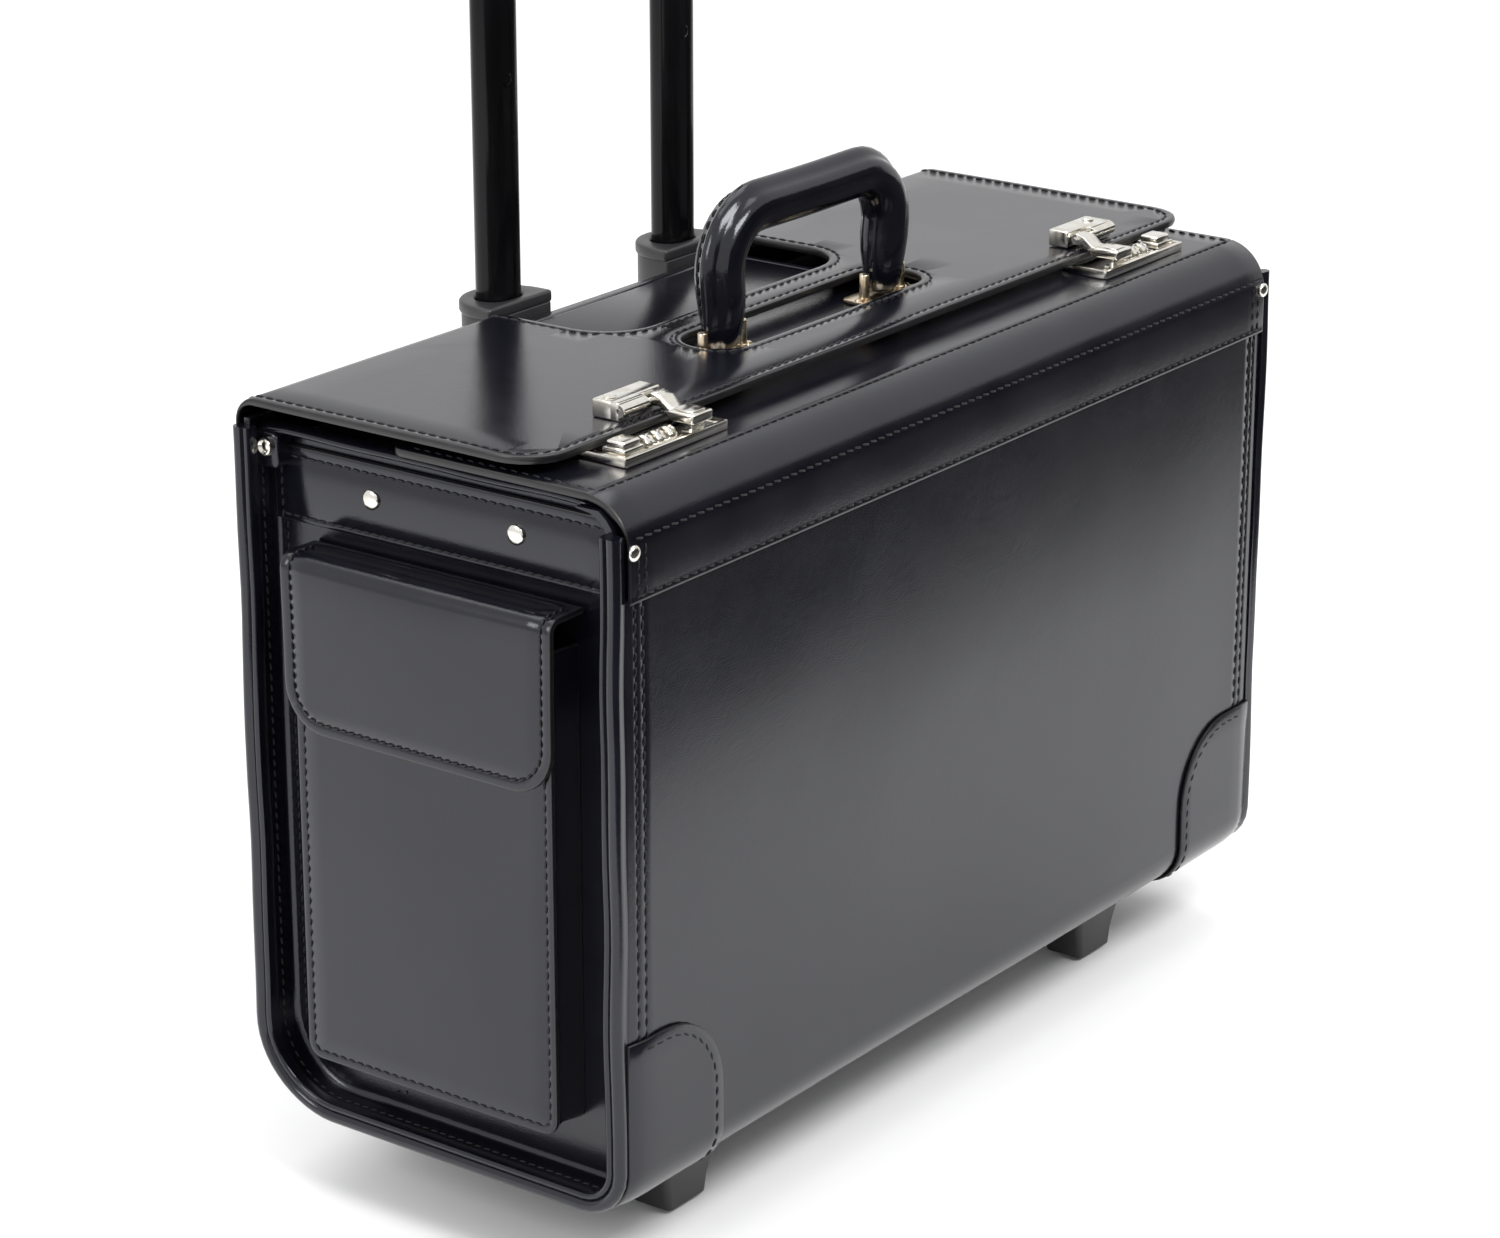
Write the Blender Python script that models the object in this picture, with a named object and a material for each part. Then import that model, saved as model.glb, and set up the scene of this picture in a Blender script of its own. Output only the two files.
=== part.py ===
"""Pilot rolling flight case: a leather case on two feet and two wheels, with a trolley handle.

Metres, +Z up, front towards -Y. Shapes are written in the case's own coordinates: x = 0 is the
middle of its width, y = 0 the middle of the leather body's depth and z = 0 its underside. The
empty "case_frame" lifts the body onto its feet and centres the whole object over the origin.
"""

from math import cos, pi, sin

import bmesh
import bpy
from mathutils import Matrix, Vector

# Driving dimensions of the leather body.
WIDTH = 0.480
DEPTH = 0.194
HEIGHT = 0.300
LEATHER = 0.0035
GAP = 0.0003
FRONT_RADIUS = 0.020
REAR_RADIUS = 0.040
GROUND_CLEARANCE = 0.036

HALF_W = WIDTH / 2
HALF_D = DEPTH / 2

# The end panels are trays set back inside the wrap.
RECESS = 0.012
PANEL_THICK = 0.003
PANEL_X = HALF_W - GAP - RECESS
PANEL_TOP = 0.2942
INNER_X = PANEL_X - PANEL_THICK
BINDING_REACH = 0.0034
BINDING_INSET = 0.0041
BINDING_TOP = 0.2925
BAND_RIVET_Y = 0.037
BAND_RIVET_Z = 0.2730
CORNER_RIVET_X = 0.2355
CORNER_RIVET_Z = (0.2790, 0.2840)

# The two-part top.
FLAP_HINGE = (0.0, -0.077, 0.2983)
FLAP_REAR = 0.020
FLAP_HALF_W = 0.238
LID_HINGE = (0.0, 0.094, 0.302)
LID_FRONT = -0.056
LID_REAR = 0.096
LID_BOTTOM = 0.3045
LID_HALF_W = 0.241
LID_TOP = LID_BOTTOM + LEATHER
SLOT_HALF_W = 0.0765
SLOT_HALF_D = 0.0155
CUTOUT_HALF_W = 0.084
CUTOUT_FRONT = 0.027

# The carry handle and its brackets.
HANDLE_Y = -0.008
HANDLE_PIVOT_Z = 0.3078
HANDLE_FOOT_X = 0.0585
HANDLE_TOP_Z = 0.3595
HANDLE_RADIUS = 0.0105
HANDLE_CORNER = 0.024
BAR_RADIUS = 0.0013

# The locks, given for the right-hand one; the left-hand one is its mirror image.
LOCK_IN, LOCK_OUT = 0.1405, 0.2065
LOCK_FRONT, LOCK_REAR = -0.0725, -0.0485
LOCK_TOP = HEIGHT + GAP + 0.0035
DIAL_X = (0.1690, 0.1762, 0.1834)
DIAL_Y = -0.0630
DIAL_Z = LOCK_TOP - 0.0013
DIAL_RADIUS = 0.0042
DIAL_HALF_W = 0.0025
HASP_AXIS = (-0.0490, 0.3126)
LOCK_BOX_X = (0.1500, 0.1970)
LOCK_BOX_Y = (-0.0690, -0.0520)
LOCK_BOX_FOOT = 0.2925
SLIDER_X = (0.1902, 0.2028)
SLIDER_Y = (-0.0690, -0.0575)
HASP_X = (0.1516, 0.1604)
TONGUE_X = (0.1502, 0.1630)
TONGUE_Y = (-0.0720, -0.0588)
HASP_BASE_X = (0.1500, 0.1810)
HASP_BASE_REAR = -0.0355

# The trolley.
ROD_X = 0.062
ROD_Y = 0.110
COLLAR_TOP = 0.308
GUIDE_FLOOR = 0.006
STAGE_TRAVEL = 0.265
STAGE_OVERLAP = 0.030
LOWER_SIZE = (0.022, 0.015)
UPPER_SIZE = (0.0174, 0.0104)
TUBE_WALL = 0.0012
LOWER_TOP = COLLAR_TOP + STAGE_TRAVEL + 0.005
UPPER_TOP = LOWER_TOP + STAGE_TRAVEL + 0.005

# The wheels and feet.
WHEEL_X = 0.150
WHEEL_Y = 0.090
WHEEL_RADIUS = 0.021
WHEEL_Z = WHEEL_RADIUS - GROUND_CLEARANCE
WHEEL_HALF_W = 0.009
AXLE_RADIUS = 0.003
FOOT_X = 0.160
FOOT_Y = -0.056

# The end pockets.
BAND_Z = (0.2560, 0.2880)
BAND_THICK = 0.0022
POCKET_HALF_W = 0.066
POCKET_DEPTH = 0.0190
POCKET_WALL = 0.0025
POCKET_Z = (0.030, 0.236)
POCKET_FLAP_DROP = 0.074
POCKET_HINGE_Z = 0.2500

# The whole object runs from the front rivets to the back of the rod guides.
FRONT_MOST = -HALF_D - 0.0018
BACK_MOST = ROD_Y + 0.0155
CENTRE_Y = (FRONT_MOST + BACK_MOST) / 2

SIDES = {"left": -1, "right": 1}


def clear_scene():
    """Remove every object, so that the script can be run again."""
    for old in list(bpy.data.objects):
        bpy.data.objects.remove(old)


def material(name, colour, roughness, metallic=0.0):
    """Return a Principled material, made once for each name."""
    found = bpy.data.materials.get(name)
    if found:
        return found
    made = bpy.data.materials.new(name)
    made.use_nodes = True
    shader = made.node_tree.nodes["Principled BSDF"]
    shader.inputs["Base Color"].default_value = (*colour, 1.0)
    shader.inputs["Roughness"].default_value = roughness
    shader.inputs["Metallic"].default_value = metallic
    made.diffuse_color = (*colour, 1.0)
    return made


def leather():
    return material("black_leather", (0.012, 0.012, 0.014), 0.28)


def leather_trim():
    return material("black_leather_trim", (0.009, 0.009, 0.010), 0.32)


def lining_cloth():
    return material("grey_lining", (0.055, 0.055, 0.06), 0.85)


def black_plastic():
    return material("black_plastic", (0.014, 0.014, 0.016), 0.42)


def black_tube():
    return material("black_anodised", (0.008, 0.008, 0.009), 0.22, 0.6)


def nickel():
    return material("nickel", (0.72, 0.69, 0.63), 0.20, 1.0)


def warm_nickel():
    return material("warm_nickel", (0.60, 0.48, 0.34), 0.26, 1.0)


def steel():
    return material("dark_steel", (0.30, 0.30, 0.31), 0.40, 1.0)


def rubber():
    return material("black_rubber", (0.018, 0.018, 0.018), 0.75)


def add_mesh(name, bm, finish=None, smooth_angle=35):
    """Turn a bmesh into an object in the case's coordinates."""
    bmesh.ops.recalc_face_normals(bm, faces=bm.faces)
    mesh = bpy.data.meshes.new(name)
    bm.to_mesh(mesh)
    bm.free()
    mesh.shade_smooth()
    mesh.set_sharp_from_angle(angle=smooth_angle * pi / 180)
    made = bpy.data.objects.new(name, mesh)
    bpy.context.scene.collection.objects.link(made)
    if finish:
        mesh.materials.append(finish)
    return made


def arc(centre, radius, start, end, steps):
    """Points on an arc, angles in degrees, both ends included."""
    turns = [start + (end - start) * i / steps for i in range(steps + 1)]
    return [
        (centre[0] + radius * cos(t * pi / 180), centre[1] + radius * sin(t * pi / 180))
        for t in turns
    ]


def place(axis, across, along):
    """Put a 2-D point at a place along an axis: X takes (y, z), Y (x, z) and Z (x, y)."""
    a, b = across
    return {"X": (along, a, b), "Y": (a, along, b), "Z": (a, b, along)}[axis]


def prism(name, axis, outline, low, high, finish=None, bevel=0.0, segments=2):
    """Extrude a closed outline along an axis, and round its edges if a bevel is given."""
    bm = bmesh.new()
    ring = [bm.verts.new(place(axis, p, low)) for p in outline]
    face = bm.faces.new(ring)
    grown = bmesh.ops.extrude_face_region(bm, geom=[face])
    moved = [v for v in grown["geom"] if isinstance(v, bmesh.types.BMVert)]
    bmesh.ops.translate(bm, verts=moved, vec=place(axis, (0, 0), high - low))
    if bevel:
        ends = [e for e in bm.edges if len({round(v.co["XYZ".index(axis)], 6) for v in e.verts}) == 1]
        bmesh.ops.bevel(
            bm, geom=ends, offset=bevel, segments=segments, profile=0.5, affect="EDGES", material=-1
        )
    return add_mesh(name, bm, finish)


def rectangle(a0, a1, b0, b1, radius=0.0, steps=4):
    """A rectangle's outline, with round corners if a radius is given."""
    if not radius:
        return [(a0, b0), (a1, b0), (a1, b1), (a0, b1)]
    corners = [
        ((a1 - radius, b0 + radius), -90),
        ((a1 - radius, b1 - radius), 0),
        ((a0 + radius, b1 - radius), 90),
        ((a0 + radius, b0 + radius), 180),
    ]
    return [p for centre, turn in corners for p in arc(centre, radius, turn, turn + 90, steps)]


def block(name, low, high, finish=None, bevel=0.0, segments=2):
    """A box between two corners."""
    outline = rectangle(low[0], high[0], low[1], high[1])
    return prism(name, "Z", outline, low[2], high[2], finish, bevel, segments)


def rod(name, axis, centre, low, high, radius, finish=None, sides=16, bevel=0.0):
    """A round bar along an axis."""
    outline = arc(centre, radius, 0, 360, sides)[:-1]
    return prism(name, axis, outline, low, high, finish, bevel)


def turned(name, axis, centre, profile, finish=None, steps=20):
    """Spin a closed (radius, along) profile about an axis through the centre."""
    bm = bmesh.new()
    ring = [bm.verts.new(place(axis, (centre[0] + r, centre[1]), s)) for r, s in profile]
    edges = [bm.edges.new((ring[i], ring[(i + 1) % len(ring)])) for i in range(len(ring))]
    direction = {"X": (1, 0, 0), "Y": (0, 1, 0), "Z": (0, 0, 1)}[axis]
    bmesh.ops.spin(
        bm, geom=ring + edges, cent=place(axis, centre, 0), axis=direction,
        angle=2 * pi, steps=steps, use_merge=True,
    )
    bmesh.ops.remove_doubles(bm, verts=bm.verts, dist=1e-6)
    return add_mesh(name, bm, finish)


def change(piece, cutter, operation="DIFFERENCE"):
    """Cut a piece with another shape, or join the two into one solid."""
    step = piece.modifiers.new(operation.lower(), "BOOLEAN")
    step.operation = operation
    step.solver = "EXACT"
    step.object = cutter
    cutter.hide_render = True
    cutter.display_type = "WIRE"
    cutter.parent = piece
    return piece


def mirrored(outline, side):
    """Mirror an outline's first coordinate for the left-hand side."""
    return [(side * a, b) for a, b in outline]


def span(side, low, high):
    """A right-hand x range, mirrored and put in order for the given side."""
    return sorted((side * low, side * high))


def side_block(name, side, x_range, y_range, z_range, finish=None, bevel=0.0):
    """A box given for the right-hand side, made for either side."""
    low, high = span(side, *x_range)
    return block(name, (low, y_range[0], z_range[0]), (high, y_range[1], z_range[1]), finish, bevel)


# The frame and the joints -------------------------------------------------------------------


def joint(name, at, parent, parent_at):
    """An empty on a joint's axis, under the empty of the piece that carries it."""
    empty = bpy.data.objects.new(name, None)
    bpy.context.scene.collection.objects.link(empty)
    empty.empty_display_size = 0.01
    empty.parent = parent
    empty.location = Vector(at) - Vector(parent_at)
    return empty


def hang(piece, empty, at):
    """Give a piece its origin on the joint's axis, and put it under the joint's empty."""
    for item in (piece, *piece.children):
        item.data.transform(Matrix.Translation(-Vector(at)))
    piece.parent = empty


# The leather body ---------------------------------------------------------------------------


def body_outline(inset, rear_top, front_top=None, roll_start=93):
    """The body's U seen from the end, as (y, z) points, from the front top to the rear top.

    The front follows the rolled top edge from roll_start degrees, or stops at front_top.
    """
    front, rear = -HALF_D + inset, HALF_D - inset
    front_r, rear_r = FRONT_RADIUS - inset, REAR_RADIUS - inset
    if front_top is None:
        roll = (-HALF_D + FRONT_RADIUS, HEIGHT - FRONT_RADIUS)
        points = arc(roll, front_r, roll_start, 180, 6)
    else:
        points = [(front, front_top)]
    points += arc((-HALF_D + FRONT_RADIUS, FRONT_RADIUS), front_r, 180, 270, 5)
    points += arc((HALF_D - REAR_RADIUS, REAR_RADIUS), rear_r, 270, 360, 7)
    points.append((rear, rear_top))
    return points


def make_wrap():
    """The leather sheet that makes the front, the bottom and the back."""
    outer = body_outline(0.0, 0.2990)
    inner = body_outline(LEATHER, 0.2990)
    return prism("case_wrap", "X", outer + inner[::-1], -HALF_W, HALF_W, leather())


def make_lining():
    """The stiffening board and lining, a second U inside the wrap and between the end panels."""
    outside = LEATHER + GAP
    inside = outside + 0.0022
    outer = body_outline(outside, 0.2740, 0.2740)
    inner = body_outline(inside, 0.2740, 0.2740)
    reach = INNER_X - GAP
    return prism("case_lining", "X", outer + inner[::-1], -reach, reach, lining_cloth())


def make_mouth_frame():
    """The steel frame that holds the mouth open."""
    reach_x, reach_y, thick = INNER_X - GAP, 0.0895, 0.0022
    z_range = (0.2765, 0.2875)
    outer = rectangle(-reach_x, reach_x, -reach_y, reach_y, 0.008)
    inner = rectangle(-reach_x + thick, reach_x - thick, -reach_y + thick, reach_y - thick, 0.006)
    frame = prism("mouth_frame", "Z", outer, *z_range, steel())
    return change(frame, prism("mouth_frame_hole", "Z", inner, z_range[0] - 0.01, z_range[1] + 0.01))


def make_divider():
    """The file divider that stands across the inside."""
    y = 0.030
    reach = INNER_X - 0.003
    return block(
        "file_divider", (-reach, y, 0.0075), (reach, y + 0.004, 0.2550), lining_cloth(), 0.001, 1
    )


def make_end_panel(label, side):
    """A tray: the end panel with its flange turned out to the wrap's edge."""
    inset = LEATHER + GAP
    outer = body_outline(inset, PANEL_TOP, roll_start=115)
    hollow = body_outline(inset + PANEL_THICK, PANEL_TOP + 0.02, roll_start=95)
    hollow.append((FLAP_HINGE[1], PANEL_TOP + 0.02))
    panel = prism(f"{label}_end_panel", "X", outer, *span(side, INNER_X, HALF_W - GAP), leather())
    return change(panel, prism(f"{label}_end_hollow", "X", hollow, *span(side, PANEL_X, HALF_W + 0.01)))


def make_binding(label, side):
    """The piping that runs round the end of the wrap."""
    depth, reach, sides = 0.0044, BINDING_REACH, 8
    path = body_outline(BINDING_INSET, BINDING_TOP)
    centre_x = side * (HALF_W + GAP + reach)
    turns = [2 * pi * (k + 0.5) / sides for k in range(sides)]
    bm = bmesh.new()
    rings = []
    for i, (y, z) in enumerate(path):
        before = Vector(path[max(i - 1, 0)])
        after = Vector(path[min(i + 1, len(path) - 1)])
        along = (after - before).normalized()
        normal = Vector((along.y, -along.x))
        ring = []
        for turn in turns:
            out = depth * cos(turn)
            x = centre_x + reach * sin(turn)
            ring.append(bm.verts.new((x, y + normal.x * out, z + normal.y * out)))
        rings.append(ring)
    for first, second in zip(rings, rings[1:]):
        for k in range(sides):
            bm.faces.new((first[k], first[(k + 1) % sides], second[(k + 1) % sides], second[k]))
    bm.faces.new(rings[0])
    bm.faces.new(rings[-1])
    return add_mesh(f"{label}_edge_binding", bm, leather_trim(), 50)


def make_end_band(label, side):
    """The stitched leather strip across the top of an end panel."""
    low, high = BAND_Z
    seat, reach, chamfer = PANEL_X + GAP, 0.0882, 0.0120
    outline = [(-reach, low), (reach, low), (reach, high)]
    outline += [(chamfer - reach, high), (-reach, high - chamfer)]
    x_range = span(side, seat, seat + BAND_THICK)
    return prism(f"{label}_end_band", "X", outline, *x_range, leather_trim(), 0.0006)


def domed_rivet(name, axis, centre, seat, outward, radius=0.0042, height=0.0016):
    """A domed rivet head that sits on a face; outward is +1 or -1 along the axis."""
    steps = 3
    profile = [(0.0, 0.0), (radius, 0.0)]
    profile += [
        (radius * cos(i * pi / 2 / steps), height * (0.25 + 0.75 * sin(i * pi / 2 / steps)))
        for i in range(steps)
    ]
    profile.append((0.0, height))
    placed = [(r, seat + outward * s) for r, s in profile]
    return turned(name, axis, centre, placed, nickel(), 12)


def make_rivets():
    """Two rivets on each end band, and one at each upper corner."""
    for label, side in SIDES.items():
        face = side * (PANEL_X + GAP + BAND_THICK + GAP)
        for where, y in (("front", -BAND_RIVET_Y), ("rear", BAND_RIVET_Y)):
            domed_rivet(f"{label}_band_rivet_{where}", "X", (y, BAND_RIVET_Z), face, side)
        corner = (side * CORNER_RIVET_X, CORNER_RIVET_Z[0])
        domed_rivet(f"front_{label}_rivet", "Y", corner, -HALF_D - GAP, -1, 0.0033, 0.0014)
        rim = side * (HALF_W + 2 * GAP + 2 * BINDING_REACH)
        corner = (HALF_D - BINDING_INSET, CORNER_RIVET_Z[1])
        domed_rivet(f"rear_{label}_rivet", "X", corner, rim, side, 0.0036, 0.0014)


def make_corner_patch(label, side):
    """A leather patch that wraps the lower front corner, from the front face under the body."""
    seat, thick, top, width = GAP, 0.0015, 0.076, 0.060
    bottom_end = -HALF_D + FRONT_RADIUS + 0.004
    centre = (-HALF_D + FRONT_RADIUS, FRONT_RADIUS)
    outer = [(-HALF_D - seat - thick, top)]
    outer += arc(centre, FRONT_RADIUS + seat + thick, 180, 270, 5)
    outer.append((bottom_end, -seat - thick))
    inner = [(-HALF_D - seat, top)]
    inner += arc(centre, FRONT_RADIUS + seat, 180, 270, 5)
    inner.append((bottom_end, -seat))
    x_range = span(side, HALF_W - width, HALF_W)
    patch = prism(f"{label}_corner_patch", "X", outer + inner[::-1], *x_range, leather_trim())
    radius = 0.038
    inner_x = HALF_W - width
    corner = [(inner_x - 0.01, top + 0.01), (inner_x - 0.01, top - radius)]
    corner += arc((inner_x + radius, top - radius), radius, 180, 90, 6)
    corner.append((inner_x + radius, top + 0.01))
    cutter = prism(
        f"{label}_patch_corner", "Y", mirrored(corner, side), -HALF_D - 0.01, -HALF_D + 0.01
    )
    return change(patch, cutter)


# The end pockets ----------------------------------------------------------------------------


def make_pocket(label, side):
    """A pocket with an open top, standing out from the end panel."""
    back = PANEL_X + GAP
    y_range = (-POCKET_HALF_W, POCKET_HALF_W)
    pocket = side_block(
        f"{label}_pocket", side, (back, back + POCKET_DEPTH), y_range, POCKET_Z, leather(), 0.003
    )
    hollow = side_block(
        f"{label}_pocket_hollow", side,
        (back + 0.0015, back + POCKET_DEPTH - POCKET_WALL),
        (y_range[0] + POCKET_WALL, y_range[1] - POCKET_WALL),
        (POCKET_Z[0] + POCKET_WALL, POCKET_Z[1] + 0.02),
    )
    return change(pocket, hollow)


def make_pocket_flap(label, side, frame):
    """The pocket's flap: a short top over the mouth, and a front that hangs over the pocket."""
    back = PANEL_X + GAP + 0.0012
    out = PANEL_X + GAP + POCKET_DEPTH + GAP * 2
    thick = 0.0030
    top = POCKET_HINGE_Z
    at = (side * (back + 0.0015), 0.0, top - 0.0015)
    outline = [(back, top), (back, top - thick), (out, top - thick - 0.002)]
    outline += [(out, top - POCKET_FLAP_DROP), (out + thick, top - POCKET_FLAP_DROP)]
    outline += arc((out - 0.003, top - 0.006), 0.006, 0, 80, 4)
    half = POCKET_HALF_W + 0.003
    flap = prism(f"{label}_pocket_flap", "Y", mirrored(outline, side), -half, half, leather())
    radius = 0.020
    low, high = span(side, back + 0.004, out + 0.02)
    for name, y_side in (("front", -1), ("rear", 1)):
        edge, foot = half, top - POCKET_FLAP_DROP
        corner = [(edge + 0.01, foot - 0.01), (edge + 0.01, foot + radius)]
        corner += arc((edge - radius, foot + radius), radius, 0, -90, 6)
        corner.append((edge - radius, foot - 0.01))
        outline = [(y_side * a, b) for a, b in corner]
        change(flap, prism(f"{label}_flap_corner_{name}", "X", outline, low, high))
    hinge = joint(f"{label}_pocket_flap_hinge", at, frame, (0, 0, 0))
    hang(flap, hinge, at)


# The two-part top ---------------------------------------------------------------------------


def make_front_flap(frame):
    """The front flap, hinged along the roll, with a window for each lock's mechanism."""
    outline = rectangle(-FLAP_HALF_W, FLAP_HALF_W, FLAP_HINGE[1] + 0.0005, FLAP_REAR, 0.004, 2)
    flap = prism("front_flap", "Z", outline, HEIGHT - LEATHER, HEIGHT, leather())
    for label, side in SIDES.items():
        low, high = span(side, LOCK_BOX_X[0] - GAP, LOCK_BOX_X[1] + GAP)
        near, far = LOCK_BOX_Y[0] - GAP, LOCK_BOX_Y[1] + GAP
        window = block(f"{label}_lock_window", (low, near, HEIGHT - 0.02), (high, far, HEIGHT + 0.01))
        change(flap, window)
    hinge = joint("front_flap_hinge", FLAP_HINGE, frame, (0, 0, 0))
    hang(flap, hinge, FLAP_HINGE)
    return hinge


def lid_outline():
    """The lid from above: round front corners, and a cut-out at the rear for the trolley."""
    front_r, inner_r = 0.020, 0.024
    right = arc((LID_HALF_W - front_r, LID_FRONT + front_r), front_r, -90, 0, 5)
    right += [(LID_HALF_W, LID_REAR), (CUTOUT_HALF_W, LID_REAR)]
    right += arc((CUTOUT_HALF_W - inner_r, CUTOUT_FRONT + inner_r), inner_r, 0, -90, 5)
    left = [(-x, y) for x, y in reversed(right)]
    return right + left


def make_lid(frame):
    """The lid, which hinges at the rear and has a slot for the carry handle."""
    lid = prism("lid", "Z", lid_outline(), LID_BOTTOM, LID_TOP, leather())
    slot = rectangle(
        -SLOT_HALF_W, SLOT_HALF_W, HANDLE_Y - SLOT_HALF_D, HANDLE_Y + SLOT_HALF_D, SLOT_HALF_D - 0.0003, 6
    )
    change(lid, prism("lid_slot", "Z", slot, LID_BOTTOM - 0.01, LID_TOP + 0.01))
    hinge = joint("lid_hinge", LID_HINGE, frame, (0, 0, 0))
    hang(lid, hinge, LID_HINGE)
    return hinge


def make_yoke():
    """The fixed leather panel between the trolley rods, seen through the lid's cut-out."""
    outline = rectangle(-0.0815, 0.0815, 0.0235, HALF_D - LEATHER - GAP, 0.006, 3)
    return prism("trolley_yoke", "Z", outline, HEIGHT - LEATHER, HEIGHT, leather())


# The locks ----------------------------------------------------------------------------------


def make_lock_plate(label, side, hinge):
    """The lock's plate with its mechanism box below, three wheel slots and a hasp slot."""
    low, high = span(side, LOCK_IN, LOCK_OUT)
    bottom = HEIGHT + GAP
    plate = block(
        f"{label}_lock_plate", (low, LOCK_FRONT, bottom), (high, LOCK_REAR, LOCK_TOP), nickel(), 0.0007, 2
    )
    box = side_block(f"{label}_lock_box", side, LOCK_BOX_X, LOCK_BOX_Y, (LOCK_BOX_FOOT, bottom + 0.001))
    change(plate, box, "UNION")
    for i, x in enumerate(DIAL_X, 1):
        reach = DIAL_HALF_W + 0.0003
        cut = side_block(
            f"{label}_dial_slot_{i}", side, (x - reach, x + reach),
            (DIAL_Y - DIAL_RADIUS - 0.0005, DIAL_Y + DIAL_RADIUS + 0.0005), (0.2972, LOCK_TOP + 0.01),
        )
        change(plate, cut)
    catch_x = (HASP_X[0] - 0.0004, HASP_X[1] + 0.0004)
    catch_y = (-0.0712, -0.0652)
    catch = side_block(f"{label}_hasp_slot", side, catch_x, catch_y, (0.3012, LOCK_TOP + 0.01))
    change(plate, catch)
    hang(plate, hinge, FLAP_HINGE)


def make_dials(label, side, hinge):
    """Three ten-sided number wheels, each turning on its own axis."""
    for i, x in enumerate(DIAL_X, 1):
        low, high = span(side, x - DIAL_HALF_W, x + DIAL_HALF_W)
        at = (side * x, DIAL_Y, DIAL_Z)
        name, centre = f"{label}_dial_{i}", (DIAL_Y, DIAL_Z)
        wheel = rod(name, "X", centre, low, high, DIAL_RADIUS, nickel(), 10, 0.0004)
        turn = joint(f"{label}_dial_{i}_axis", at, hinge, FLAP_HINGE)
        hang(wheel, turn, at)


def make_slider(label, side, hinge):
    """The sliding button that releases the hasp."""
    base = LOCK_TOP + GAP
    at = (side * sum(SLIDER_X) / 2, DIAL_Y, base)
    z_range = (base, base + 0.0042)
    slider = side_block(f"{label}_lock_slider", side, SLIDER_X, SLIDER_Y, z_range, nickel(), 0.0008)
    travel = joint(f"{label}_slider_travel", at, hinge, FLAP_HINGE)
    hang(slider, travel, at)


def make_hasp_base(label, side, hinge):
    """The block on the lid that carries the hasp's knuckle."""
    y_axis, z_axis = HASP_AXIS
    bottom, tall, behind = LID_TOP + GAP, 0.0075, y_axis + 0.004
    outline = [(HASP_BASE_REAR, bottom), (HASP_BASE_REAR, bottom + tall), (behind, bottom + tall)]
    outline += arc((y_axis, z_axis), 0.0027, 60, 270, 8)
    outline.append((behind, bottom))
    base = prism(f"{label}_hasp_base", "X", outline, *span(side, *HASP_BASE_X), nickel())
    gap_x = (HASP_BASE_X[0] - 0.001, TONGUE_X[1] + 0.001)
    gap_y = (y_axis - 0.010, y_axis + 0.0032)
    cut = side_block(f"{label}_knuckle_gap", side, gap_x, gap_y, (0.300, 0.330))
    change(base, cut)
    hang(base, hinge, LID_HINGE)


def make_hasp(label, side, hinge):
    """The hasp: knuckle, neck, tongue, and a hook that reaches into the lock."""
    y_axis, z_axis = HASP_AXIS
    top, under = 0.3104, 0.3063
    outline = arc((y_axis, z_axis), 0.0026, -60, 150, 8)
    outline += [(-0.0560, z_axis + 0.0006), (-0.0585, top), (-0.0706, top), (-0.0716, top - 0.0010)]
    outline += [(-0.0716, under), (-0.0690, under), (-0.0690, 0.3020), (-0.0668, 0.3020), (-0.0668, under)]
    outline += [(-0.0578, under), (-0.0560, z_axis - 0.0026)]
    hasp = prism(f"{label}_hasp", "X", outline, *span(side, *HASP_X), nickel())
    wide = side_block(f"{label}_hasp_tongue", side, TONGUE_X, TONGUE_Y, (under + 0.0004, top + 0.0003))
    change(hasp, wide, "UNION")
    at = (side * sum(HASP_X) / 2, y_axis, z_axis)
    pin = joint(f"{label}_hasp_pin", at, hinge, LID_HINGE)
    hang(hasp, pin, at)


# The carry handle ---------------------------------------------------------------------------


def make_handle_bracket(label, side, hinge):
    """A bracket on the flap: a plate, two posts and the bar that the handle swings on."""
    x, bottom, half_x, half_y, thick = HANDLE_FOOT_X, HEIGHT + GAP, 0.0195, 0.009, 0.0016
    reach, post_top, post_radius = 0.0135, 0.3125, 0.0023
    bracket = side_block(
        f"{label}_handle_bracket", side, (x - half_x, x + half_x), (HANDLE_Y - half_y, HANDLE_Y + half_y),
        (bottom, bottom + thick), warm_nickel(), 0.0004,
    )
    for name, offset in (("inner", -reach), ("outer", reach)):
        centre = (side * (x + offset), HANDLE_Y)
        post = rod(f"{label}_post_{name}", "Z", centre, bottom + thick / 2, post_top, post_radius, None, 12)
        change(bracket, post, "UNION")
    low, high = span(side, x - reach, x + reach)
    bar = rod(f"{label}_bar", "X", (HANDLE_Y, HANDLE_PIVOT_Z), low, high, BAR_RADIUS, None, 10)
    change(bracket, bar, "UNION")
    hang(bracket, hinge, FLAP_HINGE)


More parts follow.
